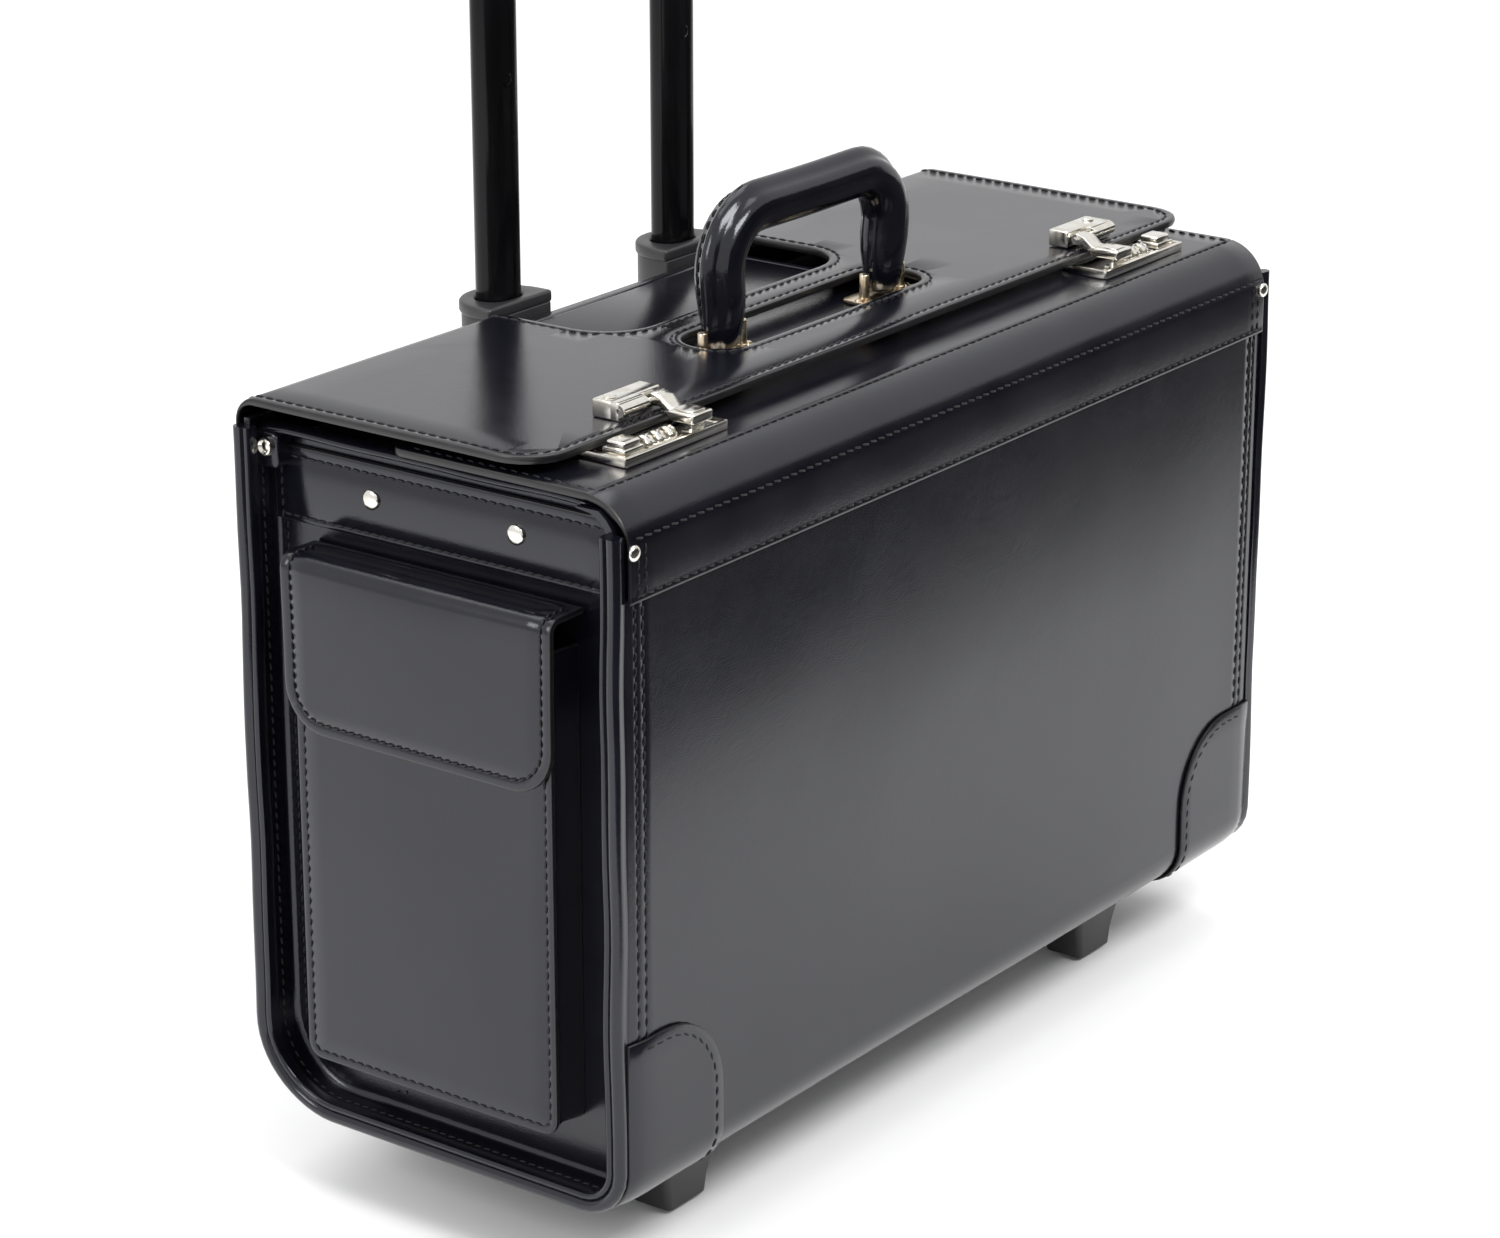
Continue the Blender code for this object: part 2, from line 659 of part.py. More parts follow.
def handle_path():
    """The handle's centre line, as (x, z) points with the section's half width and half depth."""
    lean = 0.0018
    shoulder = (HANDLE_FOOT_X + lean - HANDLE_CORNER, HANDLE_TOP_Z - HANDLE_CORNER)
    leg = [
        (0.0, -0.0044, 0.0060, 0.0030),
        (0.0, -0.0030, 0.0086, 0.0044),
        (0.0, 0.0030, 0.0097, 0.0058),
        (0.0004, 0.0120, 0.0102, 0.0084),
        (0.0010, 0.0200, HANDLE_RADIUS, HANDLE_RADIUS),
    ]
    right = [(HANDLE_FOOT_X + out, HANDLE_PIVOT_Z + up, a, b) for out, up, a, b in leg]
    bend = arc(shoulder, HANDLE_CORNER, 0, 90, 6)
    right += [(x, z, HANDLE_RADIUS, HANDLE_RADIUS) for x, z in bend]
    left = [(-x, z, a, b) for x, z, a, b in reversed(right)]
    return right + left


def make_handle(hinge):
    """The carry handle, a padded leather arch that swings on the two bars."""
    sides = 12
    path = handle_path()
    bm = bmesh.new()
    rings = []
    for i, (x, z, half_w, half_d) in enumerate(path):
        before, after = path[max(i - 1, 0)], path[min(i + 1, len(path) - 1)]
        along = Vector((after[0] - before[0], after[1] - before[1])).normalized()
        normal = Vector((along.y, -along.x))
        ring = []
        for k in range(sides):
            turn = 2 * pi * k / sides
            out = half_w * cos(turn)
            ring.append(
                bm.verts.new((x + normal.x * out, HANDLE_Y + half_d * sin(turn), z + normal.y * out))
            )
        rings.append(ring)
    for first, second in zip(rings, rings[1:]):
        for k in range(sides):
            bm.faces.new((first[k], first[(k + 1) % sides], second[(k + 1) % sides], second[k]))
    bm.faces.new(rings[0])
    bm.faces.new(rings[-1])
    handle = add_mesh("carry_handle", bm, leather_trim(), 50)
    at = (0.0, HANDLE_Y, HANDLE_PIVOT_Z)
    bore = rod("handle_bore", "X", (at[1], at[2]), -0.09, 0.09, BAR_RADIUS + 0.0004, None, 10)
    change(handle, bore)
    hang(handle, joint("carry_handle_pivot", at, hinge, FLAP_HINGE), at)


# The trolley --------------------------------------------------------------------------------


def oval(centre, size, grow=0.0):
    """An oval outline: a rectangle with fully rounded ends."""
    half_x, half_y = size[0] / 2 + grow, size[1] / 2 + grow
    x, y = centre
    return rectangle(x - half_x, x + half_x, y - half_y, y + half_y, half_y - 0.0002, 4)


def make_rod_guide(label, side):
    """A D-shaped channel down the back of the case, with a collar at its top."""
    x = side * ROD_X
    flat = HALF_D + GAP
    back = ROD_Y + 0.0155

    def d_shape(half_x, rear):
        radius = min(half_x, rear - flat) - 0.0005
        points = [(x - half_x, flat), (x + half_x, flat)]
        points += arc((x + half_x - radius, rear - radius), radius, 0, 90, 5)
        points += arc((x - half_x + radius, rear - radius), radius, 90, 180, 5)
        return points

    guide = prism(f"{label}_rod_guide", "Z", d_shape(0.0175, back - 0.003), -0.002, 0.2900, black_plastic())
    collar = prism(f"{label}_collar", "Z", d_shape(0.0215, back), 0.2800, COLLAR_TOP, None, 0.0012, 2)
    change(guide, collar, "UNION")
    bore = prism(
        f"{label}_guide_bore", "Z", oval((x, ROD_Y), LOWER_SIZE, 0.0004), GUIDE_FLOOR, COLLAR_TOP + 0.01
    )
    return change(guide, bore)


def make_trolley(frame):
    """The two stages of rods, the grip across their tops and its release button."""
    lower_at = (0.0, ROD_Y, COLLAR_TOP)
    lower = joint("trolley_lower_slide", lower_at, frame, (0, 0, 0))
    upper_at = (0.0, ROD_Y, LOWER_TOP)
    upper = joint("trolley_upper_slide", upper_at, lower, lower_at)
    for label, side in SIDES.items():
        x = side * ROD_X
        bottom = COLLAR_TOP - STAGE_OVERLAP
        outside = oval((x, ROD_Y), LOWER_SIZE)
        tube = prism(f"{label}_lower_rod", "Z", outside, bottom, LOWER_TOP, black_tube())
        hollow = oval((x, ROD_Y), LOWER_SIZE, -TUBE_WALL)
        change(tube, prism(f"{label}_lower_bore", "Z", hollow, bottom - 0.01, LOWER_TOP + 0.01))
        hole = rod(f"{label}_lock_hole", "Y", (x, 0.4035), ROD_Y - 0.02, ROD_Y, 0.0022, None, 10)
        change(tube, hole)
        hang(tube, lower, lower_at)
        inner_bottom = LOWER_TOP - STAGE_OVERLAP
        stick = prism(
            f"{label}_upper_rod", "Z", oval((x, ROD_Y), UPPER_SIZE), inner_bottom, UPPER_TOP, black_tube()
        )
        hang(stick, upper, upper_at)
    grip_low, grip_high = UPPER_TOP + GAP, UPPER_TOP + 0.026
    half_x, half_y = ROD_X + 0.0145, 0.0115
    grip = prism(
        "trolley_grip", "Y", rectangle(-half_x, half_x, grip_low, grip_high, 0.009, 4),
        ROD_Y - half_y, ROD_Y + half_y, black_plastic(), 0.003, 2,
    )
    well = prism(
        "button_well", "Z", rectangle(-0.0165, 0.0165, ROD_Y - 0.0065, ROD_Y + 0.0065, 0.004, 3),
        grip_high - 0.0085, grip_high + 0.01,
    )
    change(grip, well)
    hang(grip, upper, upper_at)
    button_at = (0.0, ROD_Y, grip_high)
    button = prism(
        "grip_button", "Z", rectangle(-0.0160, 0.0160, ROD_Y - 0.0060, ROD_Y + 0.0060, 0.0037, 3),
        grip_high - 0.0040, grip_high + 0.0020, black_plastic(), 0.0007, 1,
    )
    hang(button, joint("grip_button_press", button_at, upper, upper_at), button_at)


# The feet and wheels ------------------------------------------------------------------------


def make_foot(label, side):
    """A tapered plastic foot under the front edge."""
    x, floor = side * FOOT_X, -GROUND_CLEARANCE
    top_z = -2 * GAP
    bm = bmesh.new()
    rings = []
    for z, half_x, y0, y1 in (
        (top_z, 0.0225, FOOT_Y - 0.0130, FOOT_Y + 0.0190),
        (floor + 0.010, 0.0145, FOOT_Y - 0.0105, FOOT_Y + 0.0115),
        (floor, 0.0125, FOOT_Y - 0.0095, FOOT_Y + 0.0100),
    ):
        outline = rectangle(x - half_x, x + half_x, y0, y1, 0.0035, 3)
        rings.append([bm.verts.new((px, py, z)) for px, py in outline])
    count = len(rings[0])
    for first, second in zip(rings, rings[1:]):
        for k in range(count):
            bm.faces.new((first[k], first[(k + 1) % count], second[(k + 1) % count], second[k]))
    bm.faces.new(rings[0])
    bm.faces.new(rings[-1])
    return add_mesh(f"{label}_front_foot", bm, black_plastic())


def make_wheel_housing(label, side):
    """A plastic housing round the rear lower edge, with two cheeks that hold the axle."""
    x = side * WHEEL_X
    half, shell, top, boss = 0.0200, 0.0042, 0.062, 0.0090
    centre = (HALF_D - REAR_RADIUS, REAR_RADIUS)
    front, back = centre[0] - 0.012, HALF_D + 2 * GAP
    outline = [(front, -2 * GAP)] + arc(centre, REAR_RADIUS + 2 * GAP, 270, 360, 7)
    outline += [(back, top), (back + shell, top), (back + shell, 0.030)]
    outline += [(WHEEL_Y + 0.0135, WHEEL_Z + 0.004)]
    outline += arc((WHEEL_Y, WHEEL_Z), boss, 20, -160, 6)
    outline += [(front, -boss)]
    housing = prism(f"{label}_wheel_housing", "X", outline, x - half, x + half, black_plastic())
    reach = WHEEL_HALF_W + 0.0012
    arch = arc((WHEEL_Y, WHEEL_Z), WHEEL_RADIUS + 0.0022, 0, 360, 20)[:-1]
    change(housing, prism(f"{label}_wheel_arch", "X", arch, x - reach, x + reach))
    axle = (WHEEL_Y, WHEEL_Z)
    change(housing, rod(f"{label}_axle_bore", "X", axle, x - 0.03, x + 0.03, AXLE_RADIUS + GAP))
    return housing


def make_wheel(label, side, frame):
    """The wheel, which turns on a steel axle."""
    x = side * WHEEL_X
    half, bore, hub, web, tyre = WHEEL_HALF_W, AXLE_RADIUS + GAP, 0.0065, 0.0025, 0.0170
    face = [
        (bore, 0.001), (hub, 0.001), (hub + 0.001, web), (tyre - 0.001, web), (tyre, 0.0), (0.0195, 0.0),
        (WHEEL_RADIUS, web),
    ]
    profile = [(r, x - half + inwards) for r, inwards in face]
    profile += [(r, x + half - inwards) for r, inwards in reversed(face)]
    wheel = turned(f"{label}_wheel", "X", (WHEEL_Y, WHEEL_Z), profile, rubber(), 24)
    at = (x, WHEEL_Y, WHEEL_Z)
    hang(wheel, joint(f"{label}_wheel_axis", at, frame, (0, 0, 0)), at)
    reach = 0.0205
    name, axle = f"{label}_wheel_axle", (WHEEL_Y, WHEEL_Z)
    rod(name, "X", axle, x - reach, x + reach, AXLE_RADIUS, steel(), 16, 0.0005)


# Assembly -----------------------------------------------------------------------------------


def make_body():
    """Everything of the leather body that stays still."""
    make_wrap()
    make_lining()
    make_mouth_frame()
    make_divider()
    make_yoke()
    make_rivets()
    for label, side in SIDES.items():
        make_end_panel(label, side)
        make_binding(label, side)
        make_end_band(label, side)
        make_corner_patch(label, side)
        make_pocket(label, side)
        make_rod_guide(label, side)
        make_foot(label, side)
        make_wheel_housing(label, side)


def main():
    """Build the case, joint by joint."""
    clear_scene()
    frame = bpy.data.objects.new("case_frame", None)
    bpy.context.scene.collection.objects.link(frame)
    frame.location = (0.0, -CENTRE_Y, GROUND_CLEARANCE)
    make_body()
    flap = make_front_flap(frame)
    lid = make_lid(frame)
    make_handle(flap)
    make_trolley(frame)
    for label, side in SIDES.items():
        make_lock_plate(label, side, flap)
        make_dials(label, side, flap)
        make_slider(label, side, flap)
        make_handle_bracket(label, side, flap)
        make_hasp_base(label, side, lid)
        make_hasp(label, side, lid)
        make_pocket_flap(label, side, frame)
        make_wheel(label, side, frame)
    for piece in bpy.context.scene.collection.objects:
        if piece.parent is None and piece is not frame:
            piece.parent = frame


main()
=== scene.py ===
"""Looks of the pilot rolling flight case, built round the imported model.

Pieces are shaped in the case's own coordinates, in metres: x = 0 is the middle of its width,
y = 0 the middle of the leather body's depth and z = 0 the body's underside. bench() then moves
each finished mesh into the model's frame and lets it ride on its body.
"""

import logging
from dataclasses import dataclass, field
from enum import Enum
from functools import cache, cached_property
from math import cos, pi, radians, sin
from typing import Callable, Sequence

import bmesh
import bpy
from mathutils import Matrix, Vector, noise


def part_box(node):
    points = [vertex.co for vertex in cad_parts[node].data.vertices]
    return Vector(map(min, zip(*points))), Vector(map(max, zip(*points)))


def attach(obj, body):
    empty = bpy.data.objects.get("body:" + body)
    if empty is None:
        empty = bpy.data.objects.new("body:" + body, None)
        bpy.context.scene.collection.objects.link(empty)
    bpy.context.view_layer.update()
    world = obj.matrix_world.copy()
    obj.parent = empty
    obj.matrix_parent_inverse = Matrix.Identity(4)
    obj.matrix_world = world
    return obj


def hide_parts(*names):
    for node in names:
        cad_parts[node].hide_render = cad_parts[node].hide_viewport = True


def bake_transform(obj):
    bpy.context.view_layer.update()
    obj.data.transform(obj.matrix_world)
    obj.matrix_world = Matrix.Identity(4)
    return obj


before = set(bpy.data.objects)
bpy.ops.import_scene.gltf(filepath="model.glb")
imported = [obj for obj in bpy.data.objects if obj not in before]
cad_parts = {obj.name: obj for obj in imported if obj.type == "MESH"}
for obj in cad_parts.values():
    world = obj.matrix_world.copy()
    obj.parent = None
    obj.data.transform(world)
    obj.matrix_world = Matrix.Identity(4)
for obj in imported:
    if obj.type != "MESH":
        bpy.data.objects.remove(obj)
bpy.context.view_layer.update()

log = logging.getLogger("flight_case")

Point = tuple[float, float]
Colour = tuple[float, float, float]
Mapping = Callable[[float, float, float], Vector]

WRAP_LOW, WRAP_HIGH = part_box("case_wrap")
SHIFT = Vector((0.0, (WRAP_LOW.y + WRAP_HIGH.y) / 2, WRAP_LOW.z))
HALF_W = WRAP_HIGH.x
HALF_D = (WRAP_HIGH.y - WRAP_LOW.y) / 2
FRONT_RADIUS = 0.020
REAR_RADIUS = 0.040
LEATHER = 0.0035
ALONG_X = Matrix.Rotation(pi / 2, 4, "Y")
TO_FRONT = Matrix.Rotation(pi / 2, 4, "X")


@cache
def cad(node: str) -> tuple[Vector, Vector]:
    """Return a CAD node's lowest and highest corners in the case's own coordinates.

    Args:
        node: the node's name.

    Returns:
        The two corners.
    """
    low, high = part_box(node)
    return low - SHIFT, high - SHIFT


def span(low: Vector, high: Vector) -> Point:
    """Return the range of |x| of a box that lies on one side of the middle.

    Args:
        low: its lowest corner.
        high: its highest corner.

    Returns:
        The distances from the middle, the nearer first.
    """
    near, far = sorted((abs(low.x), abs(high.x)))
    return near, far


class Side(Enum):
    """One end of the case, and the sign of its x."""

    LEFT = -1
    RIGHT = 1

    @property
    def label(self) -> str:
        """The word that starts the names of this end's pieces."""
        return self.name.lower()


# Finishes ------------------------------------------------------------------------------------


class ShaderTree:
    """Adds and links the nodes of one Principled material."""

    def __init__(self, name: str) -> None:
        """Start a material with its Principled shader.

        Args:
            name: the material's name.
        """
        self.material = bpy.data.materials.new(name)
        self.material.use_nodes = True
        self.tree = self.material.node_tree
        self.shader = self.tree.nodes["Principled BSDF"]
        self.place = self.add("ShaderNodeTexCoord").outputs["Object"]

    def add(self, kind: str, **settings: object) -> bpy.types.Node:
        """Add a node.

        Args:
            kind: the node's type name.
            settings: properties to set on it.

        Returns:
            The node.
        """
        node = self.tree.nodes.new(kind)
        for key, value in settings.items():
            setattr(node, key, value)
        return node

    def feed(self, socket: bpy.types.NodeSocket, source: object) -> None:
        """Link a source into a socket, or set the socket if the source is a plain value.

        Args:
            socket: the input socket.
            source: an output socket, or a value.
        """
        if isinstance(source, bpy.types.NodeSocket):
            self.tree.links.new(source, socket)
        else:
            socket.default_value = source

    def set(self, **values: object) -> None:
        """Set or link the shader's inputs, named with underscores for spaces.

        Args:
            values: input names and values, or output sockets.
        """
        for key, value in values.items():
            self.feed(self.shader.inputs[key.replace("_", " ").title().replace("Ior", "IOR")], value)

    def stretched(self, scale: tuple[float, float, float]) -> bpy.types.NodeSocket:
        """Return Object coordinates scaled by axis.

        Args:
            scale: the factor on each axis.

        Returns:
            The vector output.
        """
        node = self.add("ShaderNodeMapping")
        self.feed(node.inputs["Vector"], self.place)
        node.inputs["Scale"].default_value = scale
        return node.outputs["Vector"]

    def noise(self, scale: float, detail: float = 3.0, vector: object = None) -> bpy.types.NodeSocket:
        """Return a noise field.

        Args:
            scale: features per metre.
            detail: octaves.
            vector: coordinates, Object coordinates if left out.

        Returns:
            The field, from 0 to 1.
        """
        node = self.add("ShaderNodeTexNoise")
        self.feed(node.inputs["Vector"], vector or self.place)
        node.inputs["Scale"].default_value = scale
        node.inputs["Detail"].default_value = detail
        return node.outputs["Fac"]

    def cells(self, scale: float, feature: str = "F1") -> bpy.types.NodeSocket:
        """Return a Voronoi distance field.

        Args:
            scale: cells per metre.
            feature: the Voronoi feature.

        Returns:
            The distance.
        """
        node = self.add("ShaderNodeTexVoronoi", feature=feature)
        self.feed(node.inputs["Vector"], self.place)
        node.inputs["Scale"].default_value = scale
        return node.outputs["Distance"]

    def spread(self, source: object, low: float, high: float) -> bpy.types.NodeSocket:
        """Stretch a 0 to 1 field to a range.

        Args:
            source: the field.
            low: the result at 0.
            high: the result at 1.

        Returns:
            The new field.
        """
        node = self.add("ShaderNodeMapRange")
        self.feed(node.inputs["Value"], source)
        node.inputs["To Min"].default_value = low
        node.inputs["To Max"].default_value = high
        return node.outputs["Result"]

    def tones(self, source: object, stops: Sequence[tuple[float, Colour]]) -> bpy.types.NodeSocket:
        """Colour a field with a ramp.

        Args:
            source: the field.
            stops: positions and colours.

        Returns:
            The colour.
        """
        node = self.add("ShaderNodeValToRGB")
        self.feed(node.inputs["Fac"], source)
        ramp = node.color_ramp.elements
        for _ in stops[2:]:
            ramp.new(0.5)
        for element, (position, colour) in zip(ramp, stops):
            element.position = position
            element.color = (*colour, 1.0)
        return node.outputs["Color"]

    def bump(
        self, height: object, depth: float, strength: float, under: object = None
    ) -> bpy.types.NodeSocket:
        """Turn a height field into a normal.

        Args:
            height: the field.
            depth: its depth in metres.
            strength: how much of it shows.
            under: another normal to add it to.

        Returns:
            The normal.
        """
        node = self.add("ShaderNodeBump")
        self.feed(node.inputs["Height"], height)
        node.inputs["Distance"].default_value = depth
        node.inputs["Strength"].default_value = strength
        if under is not None:
            self.feed(node.inputs["Normal"], under)
        return node.outputs["Normal"]


@dataclass(frozen=True)
class BoxLeather:
    """Polished box leather: pores, a faint mottle, a painted bluish reflection cast in its base colour, and
    a hard glaze over it.
    """

    name: str
    # tint and lift are near-black mottle tones; their extra blue is a painted bluish reflection, not the
    # leather's own colour.
    tint: Colour = (0.0028, 0.0028, 0.0052)
    lift: Colour = (0.0056, 0.0056, 0.0092)
    polish: tuple[float, float] = (0.15, 0.23)
    pore_scale: float = 1500.0
    pore_depth: float = 0.00006
    wave_depth: float = 0.0008
    glaze: float = 0.5

    def make(self) -> bpy.types.Material:
        """Build the material."""
        tree = ShaderTree(self.name)
        mottle = tree.noise(38.0, 4.0)
        waves = tree.bump(tree.noise(11.0, 1.5), self.wave_depth, 0.5)
        creases = tree.bump(tree.noise(320.0, 3.0), self.pore_depth, 0.5, waves)
        pores = tree.bump(tree.cells(self.pore_scale), self.pore_depth, 0.45, creases)
        # The base colour carries the painted bluish reflection cast from tint and lift.
        tree.set(
            base_color=tree.tones(mottle, [(0.3, self.tint), (0.8, self.lift)]),
            roughness=tree.spread(mottle, *self.polish),
            specular_tint=(0.93, 0.94, 1.0, 1.0),
            specular_ior_level=self.glaze,
            normal=pores,
        )
        return tree.material


@dataclass(frozen=True)
class EdgePaint:
    """The rounded, painted and burnished edge of a cut leather sheet."""

    name: str = "edge_paint"

    def make(self) -> bpy.types.Material:
        """Build the material."""
        tree = ShaderTree(self.name)
        streaks = tree.noise(900.0, 2.0, tree.stretched((0.15, 0.15, 1.0)))
        tree.set(
            base_color=tree.tones(streaks, [(0.3, (0.004, 0.004, 0.005)), (0.8, (0.010, 0.0095, 0.010))]),
            roughness=tree.spread(streaks, 0.24, 0.38),
            normal=tree.bump(streaks, 0.00008, 0.5),
        )
        return tree.material


@dataclass(frozen=True)
class WaxedThread:
    """Black waxed sewing thread."""

    name: str = "waxed_thread"
    tint: Colour = (0.003, 0.003, 0.0035)

    def make(self) -> bpy.types.Material:
        """Build the material."""
        tree = ShaderTree(self.name)
        strands = tree.noise(2600.0, 2.0)
        tree.set(
            base_color=tree.tones(strands, [(0.2, self.tint), (0.8, (0.010, 0.010, 0.012))]),
            roughness=tree.spread(strands, 0.36, 0.60),
            specular_ior_level=0.35,
            normal=tree.bump(strands, 0.00012, 0.6),
        )
        return tree.material


@dataclass(frozen=True)
class PlatedMetal:
    """Polished plate over metal, with fine rubbing marks and a worn undertone."""

    name: str
    plate: Colour = (0.76, 0.74, 0.69)
    worn: Colour = (0.62, 0.58, 0.50)
    polish: tuple[float, float] = (0.10, 0.24)
    wear: tuple[float, float] = (0.45, 0.75)

    def make(self) -> bpy.types.Material:
        """Build the material."""
        tree = ShaderTree(self.name)
        rubs = tree.noise(700.0, 3.0, tree.stretched((1.0, 0.12, 1.0)))
        cloud = tree.noise(140.0, 4.0)
        low, high = self.wear
        tree.set(
            base_color=tree.tones(cloud, [(low, self.plate), (high, self.worn)]),
            metallic=1.0,
            roughness=tree.spread(rubs, *self.polish),
            normal=tree.bump(rubs, 0.00002, 0.5),
        )
        return tree.material


@dataclass(frozen=True)
class MouldedPlastic:
    """Black moulded plastic with a fine spark-eroded surface."""

    name: str
    tint: Colour = (0.014, 0.014, 0.015)
    polish: tuple[float, float] = (0.34, 0.48)
    grain: float = 0.00005

    def make(self) -> bpy.types.Material:
        """Build the material."""
        tree = ShaderTree(self.name)
        cloud = tree.noise(60.0, 4.0)
        tree.set(
            base_color=tree.tones(cloud, [(0.2, self.tint), (0.9, (0.024, 0.024, 0.026))]),
            roughness=tree.spread(cloud, *self.polish),
            normal=tree.bump(tree.cells(1900.0), self.grain, 0.5),
        )
        return tree.material


@dataclass(frozen=True)
class AnodisedTube:
    """Black anodised aluminium tube, with faint drawing lines along it."""

    name: str = "anodised_tube"

    def make(self) -> bpy.types.Material:
        """Build the material."""
        tree = ShaderTree(self.name)
        lines = tree.noise(1100.0, 2.0, tree.stretched((1.0, 1.0, 0.01)))
        rubbed = tree.noise(16.0, 4.0)
        tree.set(
            base_color=tree.tones(
                rubbed, [(0.3, (0.0022, 0.0022, 0.0026)), (0.9, (0.0060, 0.0060, 0.0070))]
            ),
            specular_ior_level=0.16,
            roughness=tree.spread(rubbed, 0.12, 0.22),
            normal=tree.bump(lines, 0.00002, 0.6),
        )
        return tree.material


@dataclass(frozen=True)
class Rubber:
    """Matt black tyre rubber, dusty in its fine texture."""

    name: str = "tyre_rubber"

    def make(self) -> bpy.types.Material:
        """Build the material."""
        tree = ShaderTree(self.name)
        dust = tree.noise(210.0, 5.0)
        tree.set(
            base_color=tree.tones(dust, [(0.3, (0.014, 0.014, 0.014)), (0.85, (0.034, 0.033, 0.031))]),
            roughness=tree.spread(dust, 0.62, 0.86),
            normal=tree.bump(dust, 0.0002, 0.6),
        )
        return tree.material


@dataclass(frozen=True)
class WovenLining:
    """Grey lining cloth with a plain weave."""

    name: str = "woven_lining"
    threads: float = 950.0

    def make(self) -> bpy.types.Material:
        """Build the material."""
        tree = ShaderTree(self.name)
        waves = []
        for direction in ("X", "Y", "Z"):
            wave = tree.add("ShaderNodeTexWave", bands_direction=direction)
            tree.feed(wave.inputs["Vector"], tree.place)
            wave.inputs["Scale"].default_value = self.threads / 20
            wave.inputs["Distortion"].default_value = 0.4
            waves.append(wave.outputs["Fac"])
        weave = waves[0]
        for other in waves[1:]:
            joined = tree.add("ShaderNodeMath", operation="MAXIMUM")
            tree.feed(joined.inputs[0], weave)
            tree.feed(joined.inputs[1], other)
            weave = joined.outputs["Value"]
        slubs = tree.noise(300.0, 3.0)
        tree.set(
            base_color=tree.tones(slubs, [(0.3, (0.050, 0.050, 0.055)), (0.8, (0.095, 0.095, 0.100))]),
            roughness=tree.spread(weave, 0.95, 0.80),
            sheen_weight=0.3,
            normal=tree.bump(weave, 0.0002, 0.6, tree.bump(slubs, 0.0001, 0.4)),
        )
        return tree.material


@dataclass(frozen=True)
class StudioPaper:
    """Plain paper or cloth of the studio."""

    name: str = "studio_paper"
    shades: tuple[float, float] = (0.88, 0.92)

    def make(self) -> bpy.types.Material:
        """Build the material."""
        tree = ShaderTree(self.name)
        cloud = tree.noise(3.0, 2.0)
        tree.set(
            base_color=tree.tones(
                cloud, [(k, (shade, shade, shade)) for k, shade in enumerate(self.shades)]
            ),
            roughness=0.8,
        )
        return tree.material


class Finish(Enum):
    """Every finish of the case."""

    LEATHER = BoxLeather("box_leather")
    TRIM = BoxLeather("trim_leather", polish=(0.10, 0.17), pore_depth=0.00004, wave_depth=0.0003)
    EDGE = EdgePaint()
    THREAD = WaxedThread()
    NICKEL = PlatedMetal("nickel_plate")
    WORN = PlatedMetal("worn_plate", worn=(0.45, 0.32, 0.18), plate=(0.66, 0.56, 0.42), polish=(0.16, 0.32))
    STEEL = PlatedMetal(
        "plain_steel", plate=(0.34, 0.34, 0.35), worn=(0.24, 0.23, 0.23), polish=(0.30, 0.48)
    )
    PLASTIC = MouldedPlastic("moulded_plastic")
    GLOSS = MouldedPlastic("polished_plastic", polish=(0.16, 0.24), grain=0.00001)
    TUBE = AnodisedTube()
    RUBBER = Rubber()
    LINING = WovenLining()
    PAPER = StudioPaper()
    FLAG = StudioPaper("studio_flag", (0.020, 0.030))

    @property
    def material(self) -> bpy.types.Material:
        """The finish's material, made the first time it is asked for."""
        return bpy.data.materials.get(self.value.name) or self.value.make()


# The bench: shaping and finishing pieces -----------------------------------------------------


def arc(centre: Point, radius: float, start: float, end: float, steps: int) -> list[Point]:
    """Return points on an arc, both ends included.

    Args:
        centre: the arc's centre.
        radius: its radius.
        start: first angle in degrees.
        end: last angle in degrees.
        steps: how many steps to take.

    Returns:
        The points.
    """
    turns = [radians(start + (end - start) * i / steps) for i in range(steps + 1)]
    return [(centre[0] + radius * cos(t), centre[1] + radius * sin(t)) for t in turns]


def rounded(
    half_a: float, half_b: float, radius: float, middle: Point = (0.0, 0.0), steps: int = 5
) -> list[Point]:
    """Return a rectangle's outline with round corners, anticlockwise.

    Args:
        half_a: half the first side.
        half_b: half the second side.
        radius: the corners' radius.
        middle: its middle.
        steps: steps in each corner.

    Returns:
        The points.
    """
    a, b = middle
    reach_a, reach_b = half_a - radius, half_b - radius
    corners = [
        (a + reach_a, b - reach_b), (a + reach_a, b + reach_b), (a - reach_a, b + reach_b),
        (a - reach_a, b - reach_b)
    ]
    return [p for i, c in enumerate(corners) for p in arc(c, radius, 90 * i - 90, 90 * i, steps)]


def new_verts(grown: dict) -> list[bmesh.types.BMVert]:
    """Return the vertices that an extrusion made."""
    return [item for item in grown["geom"] if isinstance(item, bmesh.types.BMVert)]


def ring_of(bm: bmesh.types.BMesh, points: Sequence[Vector]) -> list[bmesh.types.BMEdge]:
    """Draw a closed ring of edges.

    Args:
        bm: the mesh.
        points: the ring's points.

    Returns:
        The ring's edges.
    """
    verts = [bm.verts.new(p) for p in points]
    return [bm.edges.new((verts[i - 1], verts[i])) for i in range(len(verts))]


def soften(bm: bmesh.types.BMesh, width: float, segments: int = 2, corner: float = 50.0) -> None:
    """Round every edge that turns more sharply than an angle.

    Args:
        bm: the mesh.
        width: the rounding's width.
        segments: steps across it.
        corner: the angle in degrees.
    """
    bmesh.ops.recalc_face_normals(bm, faces=bm.faces)
    edges = [e for e in bm.edges if e.is_manifold and e.calc_face_angle() > radians(corner)]
    bmesh.ops.bevel(
        bm, geom=edges, offset=width, segments=segments, profile=0.5, affect="EDGES", material=-1,
        clamp_overlap=True,
    )


